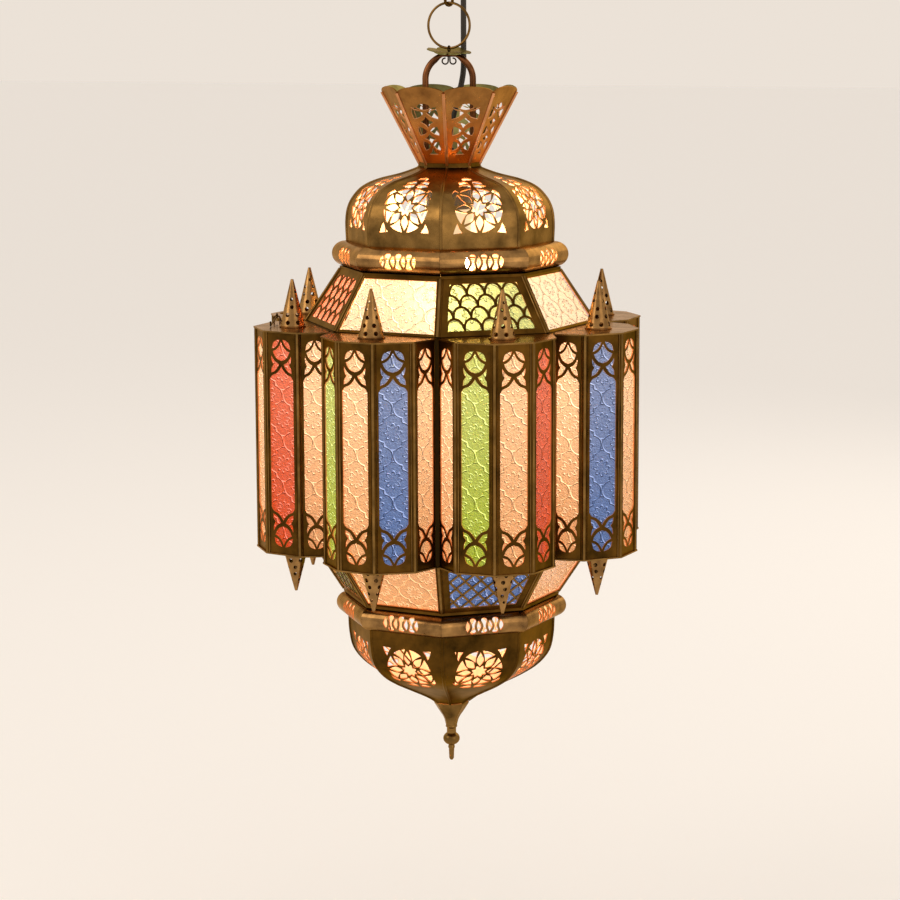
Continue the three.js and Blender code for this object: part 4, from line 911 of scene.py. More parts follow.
def make_finishes():
    """All finishes of the lantern, by name"""
    # Old sheet brass, wiped but not polished: olive brown with golden rubbed places
    finishes["aged brass"] = brass("aged brass", tone("brass"), tone("patina"), 0.3)
    # The same brass where it is wiped more often, lighter partly from wear and partly as a painted highlight: dome,
    # ridges, finial and hanging ring
    finishes["worn brass"] = brass("worn brass", tone("worn"), opaque("#503b1c"), 0.26, 20)
    # Brass that hands and cloths keep clean, brighter still as a painted highlight and painted glow: spires, ring
    # mouldings and top plates
    finishes["rubbed brass"] = brass("rubbed brass", tone("rubbed"), opaque("#64482a"), 0.22, 16)
    # Bar of copper-rich brass, bent hot: reddish brown
    finishes["brown brass"] = brass("hot-bent brass", opaque("#8a5836"), opaque("#4c2e1a"), 0.3, 14)
    # Beads on the crown's seams, copper-rich and wiped, brightened further as a painted highlight: the brightest metal
    finishes["wiped copper"] = brass("wiped copper", opaque("#e0a070"), opaque("#ae703e"), 0.28)
    # The crown's inner side and the washer, never wiped: dull and greenish
    finishes["green brass"] = brass("dull green brass", opaque("#908a55"), opaque("#4a4423"), 0.36)
    # Brass darkened in a bath: small fittings and the drum
    finishes["dark brass"] = brass("darkened brass", tone("patina"), opaque("#241b0e"), 0.36, 12)
    # Brass with much copper: golden brown, with a painted warm glow that reddens it toward the foot
    foot = span("crown")[0]
    finishes["warm brass"] = brass(
        "copper-rich brass",
        tone("copper"),
        opaque("#6b4520"),
        0.27,
        18,
        ("#d5762f", foot + 6, foot + 46),
    )
    # The inner side of the sheet and its cut edges, in the bulb's light
    finishes["lit side"] = lit_brass("brass in the bulb's light", "#c89a50", 0.9, "#ffe6c2", "#e8b088")
    finishes["lit edge"] = lit_brass(
        "cut brass edge in the bulb's light", "#8a5a2e", 0.16, "#ffb478", "#ff8a4a"
    )
    # Each glass: its glow, how much paler it goes near the bulb, and how sharp its lines are
    panes = (("clear", 0.42, 0.6, 0.8), ("red", 0.38, 0.2, 1.1), ("amber", 0.62, 0.2, 0.9))
    for name, glow, paling, relief in (*panes, ("green", 0.42, 0.35, 1.1), ("blue", 0.42, 0.2, 1.4)):
        finishes[name] = pressed_glass(f"pressed {name} glass", tone(name), glow, paling, relief)
    # Frosted bulb, alight
    finishes["bulb"] = plain(
        "frosted bulb glass",
        "#fff6e6",
        {"Roughness": 0.5, "Emission Color": opaque("#ffe2b0"), "Emission Strength": 30.0},
        2,
    )
    # Black phenolic, moulded: a low gloss
    finishes["black plastic"] = plain("black phenolic", "#1c1b18", {"Roughness": 0.42}, 1.5)
    # The lampholder's shell is the same, with the bulb's glare on it
    glare = {"Roughness": 0.42, "Emission Color": opaque("#ffd9a8"), "Emission Strength": 0.9}
    finishes["lit plastic"] = plain("black phenolic in the bulb's light", "#1c1b18", glare, 1.5)
    # Cable sheath of PVC, extruded: smooth and dark
    finishes["sheath"] = plain("black cable sheath", "#2a2214", {"Roughness": 0.6}, 1.2)


def finish_named(name):
    """A finish by name; the first call makes them all"""
    if not finishes:
        make_finishes()
    return finishes[name]


# Operators, one for each group of pieces


class LANTERN_OT_stage(Operator):
    """Camera, lamps, floor and surroundings"""

    bl_idname = "lantern.stage"
    bl_label = "Stage"

    def execute(self, context):
        distance = 2100.7
        height = -100.9
        pitch = math.radians(-9.35)
        yaw = math.radians(0.011)
        roll = math.radians(-0.21)
        data = bpy.data.cameras.new("camera")
        data.sensor_width = 36
        data.lens = 103
        camera = bpy.data.objects.new("camera", data)
        context.scene.collection.objects.link(camera)
        level = Matrix.Rotation(SIDEWAYS + yaw, 4, "Z") @ Matrix.Rotation(math.pi / 2 + pitch, 4, "X")
        place = (distance * math.sin(SIDEWAYS) * MM, -distance * math.cos(SIDEWAYS) * MM, height * MM)
        camera.matrix_world = Matrix.Translation(place) @ level @ Matrix.Rotation(roll, 4, "Z")
        context.scene.camera = camera
        context.scene.view_settings.view_transform = "Standard"

        lamps = (
            ("key", (-1.6, -2.2, 1.1), 1.6, 16),
            ("fill", (2.4, -1.2, 0.2), 1.6, 7),
            ("back", (0.4, 2.4, 0.9), 1.8, 10),
        )
        aim = Vector((0, 0, -0.4))
        for name, place, size, power in lamps:
            light = bpy.data.lights.new(name, "AREA")
            light.size = size
            light.energy = power
            light.color = linear("#fff1df")
            lamp = bpy.data.objects.new(name, light)
            lamp.location = place
            lamp.rotation_euler = (aim - Vector(place)).to_track_quat("-Z", "Y").to_euler()
            context.scene.collection.objects.link(lamp)

        world = bpy.data.worlds.new("surroundings")
        context.scene.world = world
        world.use_nodes = True
        tree = world.node_tree
        tree.nodes.clear()
        sky = add_node(tree, "Background", {"Color": tone("backdrop"), "Strength": 0.95})
        add_node(tree, "OutputWorld", {}, {"Surface": sky.outputs["Background"]})

        made = bpy.data.meshes.new("floor")
        reach = 30
        low = -0.9
        corners = [(-reach, -reach, low), (reach, -reach, low), (reach, reach, low), (-reach, reach, low)]
        made.from_pydata(corners, [], [(0, 1, 2, 3)])
        floor = bpy.data.objects.new("floor", made)
        context.scene.collection.objects.link(floor)
        # White paint in the backdrop's light takes the backdrop's colour
        paint = plain("matt floor paint", "#fcfcfc", {"Roughness": 0.9}, 5)
        made.materials.append(paint)
        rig.stage(floor)
        return {"FINISHED"}


class LANTERN_OT_cable(Operator):
    """Power cable from the ceiling, beside the ring, into the crown and the lampholder"""

    bl_idname = "lantern.cable"
    bl_label = "Cable"

    def execute(self, context):
        mm = millimetres()
        drum_top = span("drum_frame")[1]
        top = span("cable_upper")[1]
        splice = span("hanging_ring")[0] + 1
        upper = [(*CABLE_PLACE, z) for z in np.linspace(top, splice, 24)]
        start = [(*CABLE_PLACE, splice), (*CABLE_PLACE, splice - 4)]
        rest = [(x, y, z + drum_top) for x, y, z in CABLE_ROUTE]
        low = span("cable_lower")[0]
        lower = spline([*start, *rest, (0, 0, (rest[-1][2] + low) / 2), (0, 0, low)], 3)
        # From the ceiling the cable bends with the chain, and beside the ring with the swivel
        hook = span("chain_link_2")[1]
        runs = (
            ("cable_above", upper, "cable_upper", "ceiling", "chain", (hook + 25, hook - 30)),
            ("cable_below", lower, "cable_lower", "chain", "swivel", (splice - 4, splice - 30)),
        )
        for name, points, node, first, second, levels in runs:
            # The cable is as long as its route
            real = float(np.linalg.norm(np.diff(points, axis=0), axis=1).sum() * MM)
            shape = wire(points, mm["cable"], 20, out=(1, 0, 0))
            made = piece(name, shape, ["sheath"], None, [node], "cable_sheath")
            ends = [(*CABLE_PLACE, z) for z in levels]
            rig.blend(made, first, second, *[tuple(c * MM for c in end) for end in ends])
            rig.cord(
                made,
                exit=tuple(np.asarray(points[0]) * MM),
                length=round(real, 4),
                diameter=2 * mm["cable"] * MM,
                far_end="object",
                stiffness="medium",
                lay="hanging",
                path=[tuple(np.asarray(p) * MM) for p in points],
            )
        return {"FINISHED"}


class LANTERN_OT_ceiling(Operator):
    """Ceiling plate, rose and hook"""

    bl_idname = "lantern.ceiling"
    bl_label = "Ceiling fitting"

    def execute(self, context):
        dress(["ceiling_plate"], "dark brass")
        low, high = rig.box("ceiling_rose")
        radius = high.x / MM
        top = high.z / MM
        foot = low.z / MM
        wall = 1.2
        bore = 1.9
        outer = [(0.55 * radius, foot), (0.7 * radius, foot + 1), (0.82 * radius, foot + 4.5)]
        outer += [(0.9 * radius, foot + 8.4), (0.955 * radius, foot + 13), (0.99 * radius, top - 4)]
        outer += [(radius, top - 2), (radius, top)]
        curve = spline([(0.3 * radius, foot), *outer[:6]], 5)
        out = [(bore, foot), *curve, *outer[6:]]
        inner = [(r - wall, z if z > top - 3 else z + wall * 0.8) for r, z in out[1:]]
        profile = [*out, *inner[::-1], (bore, foot + wall), (bore, foot)]
        rose = lathe(profile, 96)
        piece("rose", rose, ["aged brass"], "ceiling", ["ceiling_rose"], "aged_brass")

        wire_radius = 1.6
        loop = 7.0
        bottom = span("ceiling_hook")[0] + wire_radius
        centre = bottom + loop
        turns = np.radians(np.linspace(27, -270, 34))
        path = [(loop * math.cos(t), 0, centre + loop * math.sin(t)) for t in turns]
        shank_top = span("ceiling_hook")[1]
        tail = [(-loop * 0.35, 0, centre + loop * 1.02), (0, 0, centre + loop * 1.5)]
        path = spline([*path[::3][:-2], *tail, (0, 0, centre + loop * 2.2), (0, 0, shank_top)], 5)
        hook = wire(path, wire_radius, 14, out=(0, 1, 0))
        collar_top = foot - 0.3
        collar = lathe([(0, collar_top), (4.4, collar_top), (4.8, collar_top - 1), (4, collar_top - 2),
                        (0, collar_top - 2)], 32)
        whole = joined([hook, collar]).turned(CHAIN_TURN)
        piece("hook", whole, ["aged brass"], "ceiling", ["ceiling_hook"], "aged_brass")
        return {"FINISHED"}


class LANTERN_OT_chain(Operator):
    """Two chain links and the hanging ring"""

    bl_idname = "lantern.chain"
    bl_label = "Chain and ring"

    def execute(self, context):
        half = 3.25
        radius = 1.2
        for node, turn in (("chain_link_1", CHAIN_TURN), ("chain_link_2", CHAIN_TURN + 90)):
            low, high = span(node)
            low += radius
            high -= radius
            turns = np.radians(np.arange(0, 181, 12))
            top = [(half * math.cos(t), 0, high - half + half * math.sin(t)) for t in turns]
            foot = [(-half * math.cos(t), 0, low + half - half * math.sin(t)) for t in turns]
            link = wire([*top, *foot], radius, 14, closed=True, out=(0, 1, 0)).turned(turn)
            finish = "aged brass"
            piece(f"link_{node[-1]}", link, [finish], "chain", [node], "aged_brass", 60)
        low, high = span("hanging_ring")
        thick = 1.0
        reach = (high - low) / 2 - thick
        turns = 2 * np.pi * np.arange(96) / 96
        centre = (low + high) / 2
        path = [(reach * math.cos(t), 0, centre + reach * math.sin(t)) for t in turns]
        ring = wire(path, thick, 14, closed=True, out=(0, 1, 0)).turned(RING_TURN)
        piece("ring", ring, ["worn brass"], "chain", ["hanging_ring"], "dark_brass", 60)
        return {"FINISHED"}


class LANTERN_OT_swivel(Operator):
    """Hanger arch with its rivets, flower washer and split cotter"""

    bl_idname = "lantern.swivel"
    bl_label = "Hanger and swivel"

    def execute(self, context):
        mm = millimetres()
        half = mm["arch_half"]
        bar = mm["arch_bar"]
        low, top = span("hanger_arch")
        spring = top - mm["arch_top"] / 2 - half
        legs = np.linspace(low + 1, spring, 12)
        turns = np.radians(np.arange(180, -1, -6))
        over = [(half * math.cos(t), 0, spring + half * math.sin(t)) for t in turns]
        path = [(-half, 0, z) for z in legs[:-1]] + over + [(half, 0, z) for z in legs[::-1][1:]]
        arch = wire(path, bar, 20, out=(0, 1, 0))
        x, y, z = arch.points.T
        near = np.clip(1 - (np.abs(x) - 2 * bar) / 4, 0, 1) * (z > spring)
        pressed = np.clip(z, top - mm["arch_top"], top)
        arch.points[:, 2] = z + (pressed - z) * near
        arch.points[:, 1] = y * (1 + 0.25 * near)
        foot = span("neck_plate")[0] - 0.3
        head = [(0, foot), (3.9, foot), (3.7, foot - 0.9), (2.6, foot - 1.7), (0, foot - 2)]
        rivets = [lathe(head, 24).shifted(side * half) for side in (-1, 1)]
        whole = joined([arch, *rivets]).turned(22.5)
        piece("arch", whole, ["brown brass"], "lantern", ["hanger_arch"], "warm_brass", 40)

        self.washer()
        self.cotter()
        return {"FINISHED"}

    def washer(self):
        """Dished disc of eight embossed petals"""
        low, high = span("flower_washer")
        thick = 0.9
        bore = 1.6
        reach = 18.5
        # The petals are bent by hand, and the washer sags toward the cable and to the front
        sag = math.tan(math.radians(4.5))
        nod = math.tan(math.radians(8))
        seat = 4.5
        turns = 2 * np.pi * np.arange(144) / 144
        petal = np.abs(np.cos(4 * turns)) ** 0.6
        rows = []
        for part in np.linspace(0, 1, 16):
            radius = bore + (reach * (0.82 + 0.18 * petal) - bore) * part
            free = np.clip((radius - seat) / (reach - seat), 0, 1)
            emboss = 1.1 * np.sin(np.pi * part) * (petal - 0.5) + 0.7 * free * np.cos(3 * turns + 1)
            x, y = radius * np.cos(turns), radius * np.sin(turns)
            lean = -(x * math.cos(SIDEWAYS) + y * math.sin(SIDEWAYS)) * sag
            lean += (y * math.cos(SIDEWAYS) - x * math.sin(SIDEWAYS)) * nod
            z = low + thick + (high - low - thick) * 0.6 * free + (emboss + lean) * free
            rows.append(np.stack([x, y, z], axis=1))
        under = [row - (0, 0, thick) for row in rows[::-1]]
        washer = grid([*rows, *under, rows[0]], close_columns=True)
        piece("washer", washer, ["green brass"], "lantern", ["flower_washer"], "dark_brass")

    def cotter(self):
        """Split cotter: an eye round the ring, two legs, and two curled tails under the arch"""
        radius = 0.6
        eye_radius = 2.2
        leg = radius + 0.15
        top = span("swivel_cotter")[1] - radius
        centre = top - eye_radius
        eye_turn = math.radians(RING_TURN + 90)
        tail_turn = SIDEWAYS
        arch_low = span("hanger_arch")[1] - millimetres()["arch_top"]
        bend = arch_low - 0.4 - radius
        curl = 2.4

        def at(turn, across, z):
            return (across * math.cos(turn), across * math.sin(turn), z)

        def tail(side):
            turns = np.pi + 1.55 * np.pi * np.linspace(0, 1, 10)
            reach = leg + curl + curl * np.cos(turns)
            heights = bend - curl + curl * np.sin(turns)
            return [at(tail_turn, side * r, z) for r, z in zip(reach, heights)]

        opening = math.asin(leg / eye_radius)
        turns = -np.pi / 2 - opening - (2 * np.pi - 2 * opening) * np.linspace(0, 1, 12)
        eye = [at(eye_turn, eye_radius * math.cos(t), centre + eye_radius * math.sin(t)) for t in turns]
        middle = (eye_turn + tail_turn) / 2
        half_way = (bend + span("flower_washer")[0]) / 2
        path = [*tail(-1)[::-1], at(middle, -leg, half_way), *eye, at(middle, leg, half_way), *tail(1)]
        side = (math.sin(tail_turn), -math.cos(tail_turn), 0.0)
        cotter = wire(spline(path, 4), radius, 12, out=side)
        piece("cotter", cotter, ["dark brass"], "swivel", ["swivel_cotter"], "dark_brass", 60)


class LANTERN_OT_crown(Operator):
    """Flared crown of eight pierced, scalloped panels"""

    bl_idname = "lantern.crown"
    bl_label = "Crown"

    def execute(self, context):
        mm = millimetres()
        above_plate = 6.3
        rise = 58.2
        low = span("neck_plate")[1] + above_plate
        high = low + rise
        slant = math.hypot(mm["crown_top"] - mm["neck"], high - low)
        scallop = 5.2
        more = 1 + 1.3 * scallop / slant
        tip = (mm["neck"] + (mm["crown_top"] - mm["neck"]) * more, low + (high - low) * more)
        path = SidePath([(mm["neck"], low), tip])
        half_foot = mm["neck"] * HALF_SIDE - 0.1
        half_top = mm["crown_top"] * HALF_SIDE - 0.1
        turns = np.radians(np.arange(0, 181, 6))
        arc = np.stack([half_top * np.cos(turns), slant + scallop * np.sin(turns)], axis=1)
        edge = [(-half_foot, 0), (half_foot, 0), *arc]
        side = pierced(edge, self.openings(), mm["sheet"]).placed(path.place)
        points, outs = path.corner_line(slant)
        strip = bead(points[:2], outs[:2])
        # The bead takes the brightest copper: wiped wear and a painted highlight
        strip.kinds[:] = BRIGHT
        rim = mm["neck"] * TO_CORNER
        half_tall = 1.6
        inner, outer = rim - 1, rim + 1
        band = [(inner, low - half_tall), (outer, low - half_tall), (outer, low + half_tall)]
        band += [(inner, low + half_tall), (inner, low - half_tall)]
        collar = lathe(band, SIDES, FACE_TURN / 2, RIDGE)
        whole = joined([all_round(joined([side, strip])), collar])
        parts = ["warm brass", "green brass", "lit edge", "aged brass", "wiped copper"]
        piece("crown_panels", whole, parts, "lantern", ["crown"], "warm_brass")
        return {"FINISHED"}

    def openings(self):
        """Openings beside, between, above and below three crosses, one over the other"""
        openings = []
        # Of each cross: height of its middle, half its width, and reach of its upper and lower arms
        for middle, half, up, down in ((46.8, 10.9, 3.6, 5.6), (30.6, 8.4, 4.4, 4), (17.6, 6.7, 4, 4.4)):
            right = outline(
                [(1.1, middle), (half * 0.5, middle + up * 0.66), (half, middle + up)],
                [(half, middle + up), (half + 0.9, middle), (half, middle - down)],
                [(half, middle - down), (half * 0.5, middle - down * 0.66), (1.1, middle)],
            )
            openings += [right, mirrored(right)]
        for middle, half, tall in ((38.7, 6, 5.4), (24, 5.2, 4.4)):
            quarter = [(half, 0), (half * 0.36, tall * 0.42), (0, tall)]
            across = [(-x, y) for x, y in quarter[::-1]]
            under = [(-x, -y) for x, y in quarter]
            back = [(x, -y) for x, y in quarter[::-1]]
            openings.append(outline(quarter, across, under, back) + (0, middle))
        openings.append(outline([(-4, 9.8), (4, 9.8)], [(4, 9.8), (1.6, 12), (0, 15.6)],
                                [(0, 15.6), (-1.6, 12), (-4, 9.8)]))
        openings.append(outline([(-6.6, 51.4), (-3.3, 50), (0, 49.4), (3.3, 50), (6.6, 51.4)],
                                [(6.6, 51.4), (4.6, 54.1), (0, 55.3), (-4.6, 54.1), (-6.6, 51.4)]))
        lens = outline([(3.4, 48.2), (8, 49.2), (12, 52.4)], [(12, 52.4), (7.4, 51.6), (3.4, 48.2)])
        return [*openings, lens, mirrored(lens)]


def rosette(height, toward_neck):
    """Eight-petalled rosette about (0, height), with the openings round it"""
    out = math.copysign(1, toward_neck)
    holes = []
    turns = 2 * np.pi * np.arange(64) / 64
    reach = 5.9 - 1.1 * np.cos(8 * turns)
    holes.append(np.stack([reach * np.cos(turns), reach * np.sin(turns)], axis=1))
    petal = outline([(6.3, 0), (8.6, -1.9), (12.2, -3.1), (18.6, 0)],
                    [(18.6, 0), (12.2, 3.1), (8.6, 1.9), (6.3, 0)])
    arc = [(19.8 * math.cos(t), 19.8 * math.sin(t)) for t in np.radians(np.arange(-17, 18, 4.25))]
    between = outline(
        [(10.4, 0), (14.6, -2.2), arc[0]], arc, [arc[-1], (14.6, 2.2), (10.4, 0)], per_span=4
    )
    for k in range(8):
        turn = math.radians(45 * k)
        for shape, extra in ((petal, 0), (between, math.pi / 8)):
            c, s = math.cos(turn + extra), math.sin(turn + extra)
            holes.append(shape @ np.array([[c, s], [-s, c]]))
    corner = outline([(18.6, -12.2), (20.6, -16), (22, -20.4)], [(22, -20.4), (14.6, -19.6)],
                     [(14.6, -19.6), (17, -16.2), (18.6, -12.2)])
    upper = outline([(19.8, 8), (19.4, 13.5), (15.8, 18)], [(15.8, 18), (14.6, 16.6), (13.6, 15)],
                    [(13.6, 15), (17.2, 12), (19.8, 8)])
    leaf = outline([(1.2, 22), (5.5, 20.6), (11.6, 22.8)], [(11.6, 22.8), (7, 26), (1.2, 26.4)],
                   [(1.2, 26.4), (1.2, 22)])
    scale = outline([(1.3, 28.4), (5, 28), (9.6, 25.6)], [(9.6, 25.6), (9, 30.4), (3.4, 34)],
                    [(3.4, 34), (2.6, 31), (1.3, 28.4)])
    # The dome's side narrows more slowly and has room for two more rows
    for shape in (corner, upper, leaf, scale) if toward_neck > 0 else (corner, upper, leaf):
        holes += [shape, mirrored(shape)]
    if toward_neck > 0:
        holes.append(outline([(-4.2, 36), (4.2, 36)],
                             [(4.2, 36), (3.8, 40.2), (0, 42.4), (-3.8, 40.2), (-4.2, 36)]))
    return [np.asarray(hole) * (1, out) + (0, height) for hole in holes]


class LANTERN_OT_dome(Operator):
    """Dome and bowl: eight curved sides, each pierced with a rosette"""

    bl_idname = "lantern.dome"
    bl_label = "Dome and bowl"

    def execute(self, context):
        mm = millimetres()
        upper = span("upper_ring")[1]
        lower = span("lower_ring")[0]
        for name, given, up, centre, edge in (("dome", DOME, 1, 32, upper), ("bowl", BOWL, -1, 33, lower)):
            side = [(flat, edge + up * z) for flat, z in given]
            smooth = spline(side if up > 0 else side[::-1], 5)
            path = SidePath(smooth)
            middle = centre if up > 0 else path.length - centre
            outer, bends = path.edge()
            sheet = pierced(outer, rosette(middle, up), mm["sheet"], bends).placed(path.place)
            points, outs = path.corner_line(2.5)
            sunk = 0.4
            whole = all_round(joined([sheet, bead(points - outs * sunk, outs)]))
            outside = "worn brass" if up > 0 else "aged brass"
            parts = [outside, "lit side", "lit edge"]
            piece(f"{name}_sides", whole, parts, "lantern", [name], "aged_brass", 25)
        return {"FINISHED"}


class LANTERN_OT_rings(Operator):
    """Half-round mouldings with slots above and below the skirts"""

    bl_idname = "lantern.rings"
    bl_label = "Ring mouldings"

    def execute(self, context):
        mm = millimetres()
        flat = mm["ring_flat"]
        # Slots about (0, 0): a long one with two round ends, and a diamond
        bone = outline([(-2.6, 5), (-1.2, 1.5), (-1.2, -1.5), (-2.6, -5)],
                       [(-2.6, -5), (-1.8, -6.6), (0, -7.2), (1.8, -6.6), (2.6, -5)],
                       [(2.6, -5), (1.2, -1.5), (1.2, 1.5), (2.6, 5)],
                       [(2.6, 5), (1.8, 6.6), (0, 7.2), (-1.8, 6.6), (-2.6, 5)], per_span=3)
        diamond = outline([(0, 5.2), (-1.8, 0), (0, -5.2)], [(0, -5.2), (1.8, 0), (0, 5.2)])
        for name in ("upper_ring", "lower_ring"):
            low, high = span(name)
            radius = (high - low) / 2
            middle = (high + low) / 2
            turns = np.radians(np.arange(-90, 91, 9))
            arc = [(flat + radius * math.cos(t), middle + radius * math.sin(t)) for t in turns]
            path = SidePath([(flat - mm["ring_flange"], low), *arc, (flat - mm["ring_flange"], high)])
            outer, bends = path.edge(1.2)
            places = [((k - 3) * 4.7, path.length / 2) for k in range(7)]
            holes = [(bone if k % 2 else diamond) + place for k, place in enumerate(places)]
            side = pierced(outer, holes, mm["sheet"], bends).placed(path.place)
            parts = ["rubbed brass", "lit side", "lit edge"]
            piece(f"{name}_moulding", all_round(side), parts, "lantern", [name], "aged_brass", 28)
        return {"FINISHED"}


class LANTERN_OT_skirts(Operator):
    """Sloping skirts: glass in plain frames and behind lattices"""

    bl_idname = "lantern.skirts"
    bl_label = "Skirts"

    def execute(self, context):
        mm = millimetres()
        foot_flat = mm["drum_flat"] - mm["skirt_inset"]
        lip_flat = mm["ring_flat"] - 3
        lip = 1.2
        kinds = (("upper_skirt", 1, 4.5, UPPER_COLOURS), ("lower_skirt", -1, 3.9, LOWER_COLOURS))
        for name, up, more, colours in kinds:
            low, high = span(name)
            top_flat = mm["ring_flat"] + more
            if up > 0:
                rest = span("upper_ring")[0]
                slope = [(foot_flat, low), (top_flat, high - lip)]
                rim = [(top_flat, high - lip), (top_flat, rest), (lip_flat, rest)]
            else:
                rest = span("lower_ring")[1]
                slope = [(top_flat, low + lip), (foot_flat, high)]
                rim = [(lip_flat, rest), (top_flat, rest), (top_flat, low + lip)]
            path = SidePath(slope)
            edge_path = SidePath(rim)
            band = pierced(edge_path.edge()[0], [], 0.8, edge_path.edge()[1]).placed(edge_path.place)
            plain_side = self.side(path, 2.9, 2.2)
            lattice = self.scales if up > 0 else self.diagonals
            border = 8.0
            end = 4.6
            bars = lattice(self.window(path, border, end))
            second = joined([self.side(path, border, end), bars.placed(path.place)])
            points, outs = path.corner_line(6)
            sides = [all_round(band), all_round(seam(points, outs, 2.8, 1.1, 19, 0.5))]
            for k in range(SIDES):
                sides.append((second if k % 2 else plain_side).turned(DOOR_TURN + FACE_TURN * k))
            parts = ["aged brass", "lit side", "lit edge", "worn brass"]
            piece(f"{name}_frame", joined(sides), parts, "lantern", [name], "aged_brass", 30)
            for k, tint in enumerate(colours):
                pane = self.pane(path, mm).turned(DOOR_TURN + FACE_TURN * k)
                node = f"{name[:5]}_pane_{k + 1}"
                # The red pane nearest the bulb takes a lit copy of the red glass: painted light, orange and brighter
                glass = "amber" if up > 0 and tint == "red" else tint
                piece(f"{node}_glass", pane, [glass], "lantern", [node], f"{tint}_glass")
        return {"FINISHED"}

    def window(self, path, border, end):
        """Corners of the opening: lower left, lower right, upper right, upper left"""
        first = path.at(end)[0] * HALF_SIDE - border
        last = path.at(path.length - end)[0] * HALF_SIDE - border
        high = path.length - end
        return [(-first, end), (first, end), (last, high), (-last, high)]

    def side(self, path, border, end):
        outer, _ = path.edge(50, 0.1)
        return pierced(outer, [self.window(path, border, end)], 1.0).placed(path.place)

    def bar(self, points, half=0.95, kind=OUTSIDE):
        """Flat bar of a lattice, a little behind the sheet's face"""
        points = np.asarray([(x, y, -0.55) for x, y in points], float)
        section = [(-half, -0.4), (half, -0.4), (half, 0.4), (-half, 0.4)]
        made = swept(points, np.tile((0.0, 0.0, 1.0), (len(points), 1)), section)
        made.kinds[:] = kind
        return made

    def inside(self, window, point, more=2.0):
        (low_x, low), _, (high_x, high), _ = window
        x, y = point
        share = (y - low) / (high - low)
        half = abs(low_x) + (abs(high_x) - abs(low_x)) * share + more
        return abs(x) <= half and low - more <= y <= high + more

    def scales(self, window):
        """Rows of arcs like fish scales, every second row half a scale over"""
        (left, low), _, (_, high), _ = window
        wide = 2 * abs(left) / 5
        tall = (high - low) / 4
        bars = []
        for row in range(4):
            for k in range(-3, 4):
                x = (k + 0.5 * (row % 2)) * wide
                y = low + row * tall
                arc = []
                for t in np.linspace(0, math.pi, 17):
                    point = (x + wide / 2 * math.cos(t), y + tall * 1.04 * math.sin(t) ** 0.9)
                    if self.inside(window, point):
                        arc.append(point)
                if len(arc) > 2:
                    bars.append(self.bar(arc))
        return joined(bars)

    def diagonals(self, window):
        """Two sets of slanting bars, crossing in diamonds"""
        (_, low), _, _, (_, high) = window
        bars = []
        rise = high - low + 4
        for k in range(-7, 8):
            for lean in (-1, 1):
                x = k * 13.2
                line = []
                for t in np.linspace(0, 1, 40):
                    point = (x + lean * (t - 0.5) * rise * 0.9, low - 2 + t * rise)
                    if self.inside(window, point):
                        line.append(point)
                if len(line) > 2:
                    bars.append(self.bar([line[0], line[len(line) // 2], line[-1]], 0.9, RIDGE))
        return joined(bars)

    def pane(self, path, mm):
        """Glass behind one side"""
        depth = mm["sheet"] + mm["gap"]
        inset = mm["glass"] + 2 * mm["gap"] + mm["sheet"]
        first = path.at(0)[0] * HALF_SIDE - inset
        last = path.at(path.length)[0] * HALF_SIDE - inset
        low = mm["glass"] / 2
        high = path.length - mm["glass"] / 2
        loop = [(-first, low), (first, low), (last, high), (-last, high)]
        return pierced(loop, [], mm["glass"]).shifted(z=-depth).placed(path.place)


def bay_corners(mm):
    """Corners of a bay that faces +X, from left to right as seen from outside"""
    half = mm["drum_flat"] * HALF_SIDE
    shoulder = np.array([mm["drum_flat"] + mm["shoulder_depth"], half - mm["shoulder_inset"]])
    front = np.array([mm["drum_flat"] + mm["bay_depth"], mm["front_half"]])
    valley = np.array([mm["drum_flat"], half])
    run = np.linalg.norm(shoulder - valley)
    valley = valley + (shoulder - valley) * (mm["post"] + mm["gap"]) / run
    right = [front, shoulder, valley]
    left = [corner * (1, -1) for corner in right[::-1]]
    return np.array(left + right)


def offset_corners(corners, distance):
    """The bay's outline moved outwards"""
    moved = []
    for i, here in enumerate(corners):
        into = here - corners[max(i - 1, 0)] if i else corners[1] - here
        out = corners[min(i + 1, len(corners) - 1)] - here if i < len(corners) - 1 else into
        normals = [np.array([d[1], -d[0]]) / np.linalg.norm(d) for d in (into, out)]
        middle = sum(normals) / np.linalg.norm(sum(normals))
        moved.append(here + middle * distance / middle.dot(normals[0]))
    return np.array(moved)


def on_pane(start, end, foot):
    """Places a flat sheet on the wall between two corners, its foot at a height"""
    middle = (start + end) / 2
    right = (end - start) / np.linalg.norm(end - start)
    out = np.array([right[1], -right[0]])

    def place(points):
        across, up, depth = points.T
        x = middle[0] + right[0] * across + out[0] * depth
        y = middle[1] + right[1] * across + out[1] * depth
        return np.stack([x, y, foot + up], axis=1)

    return place


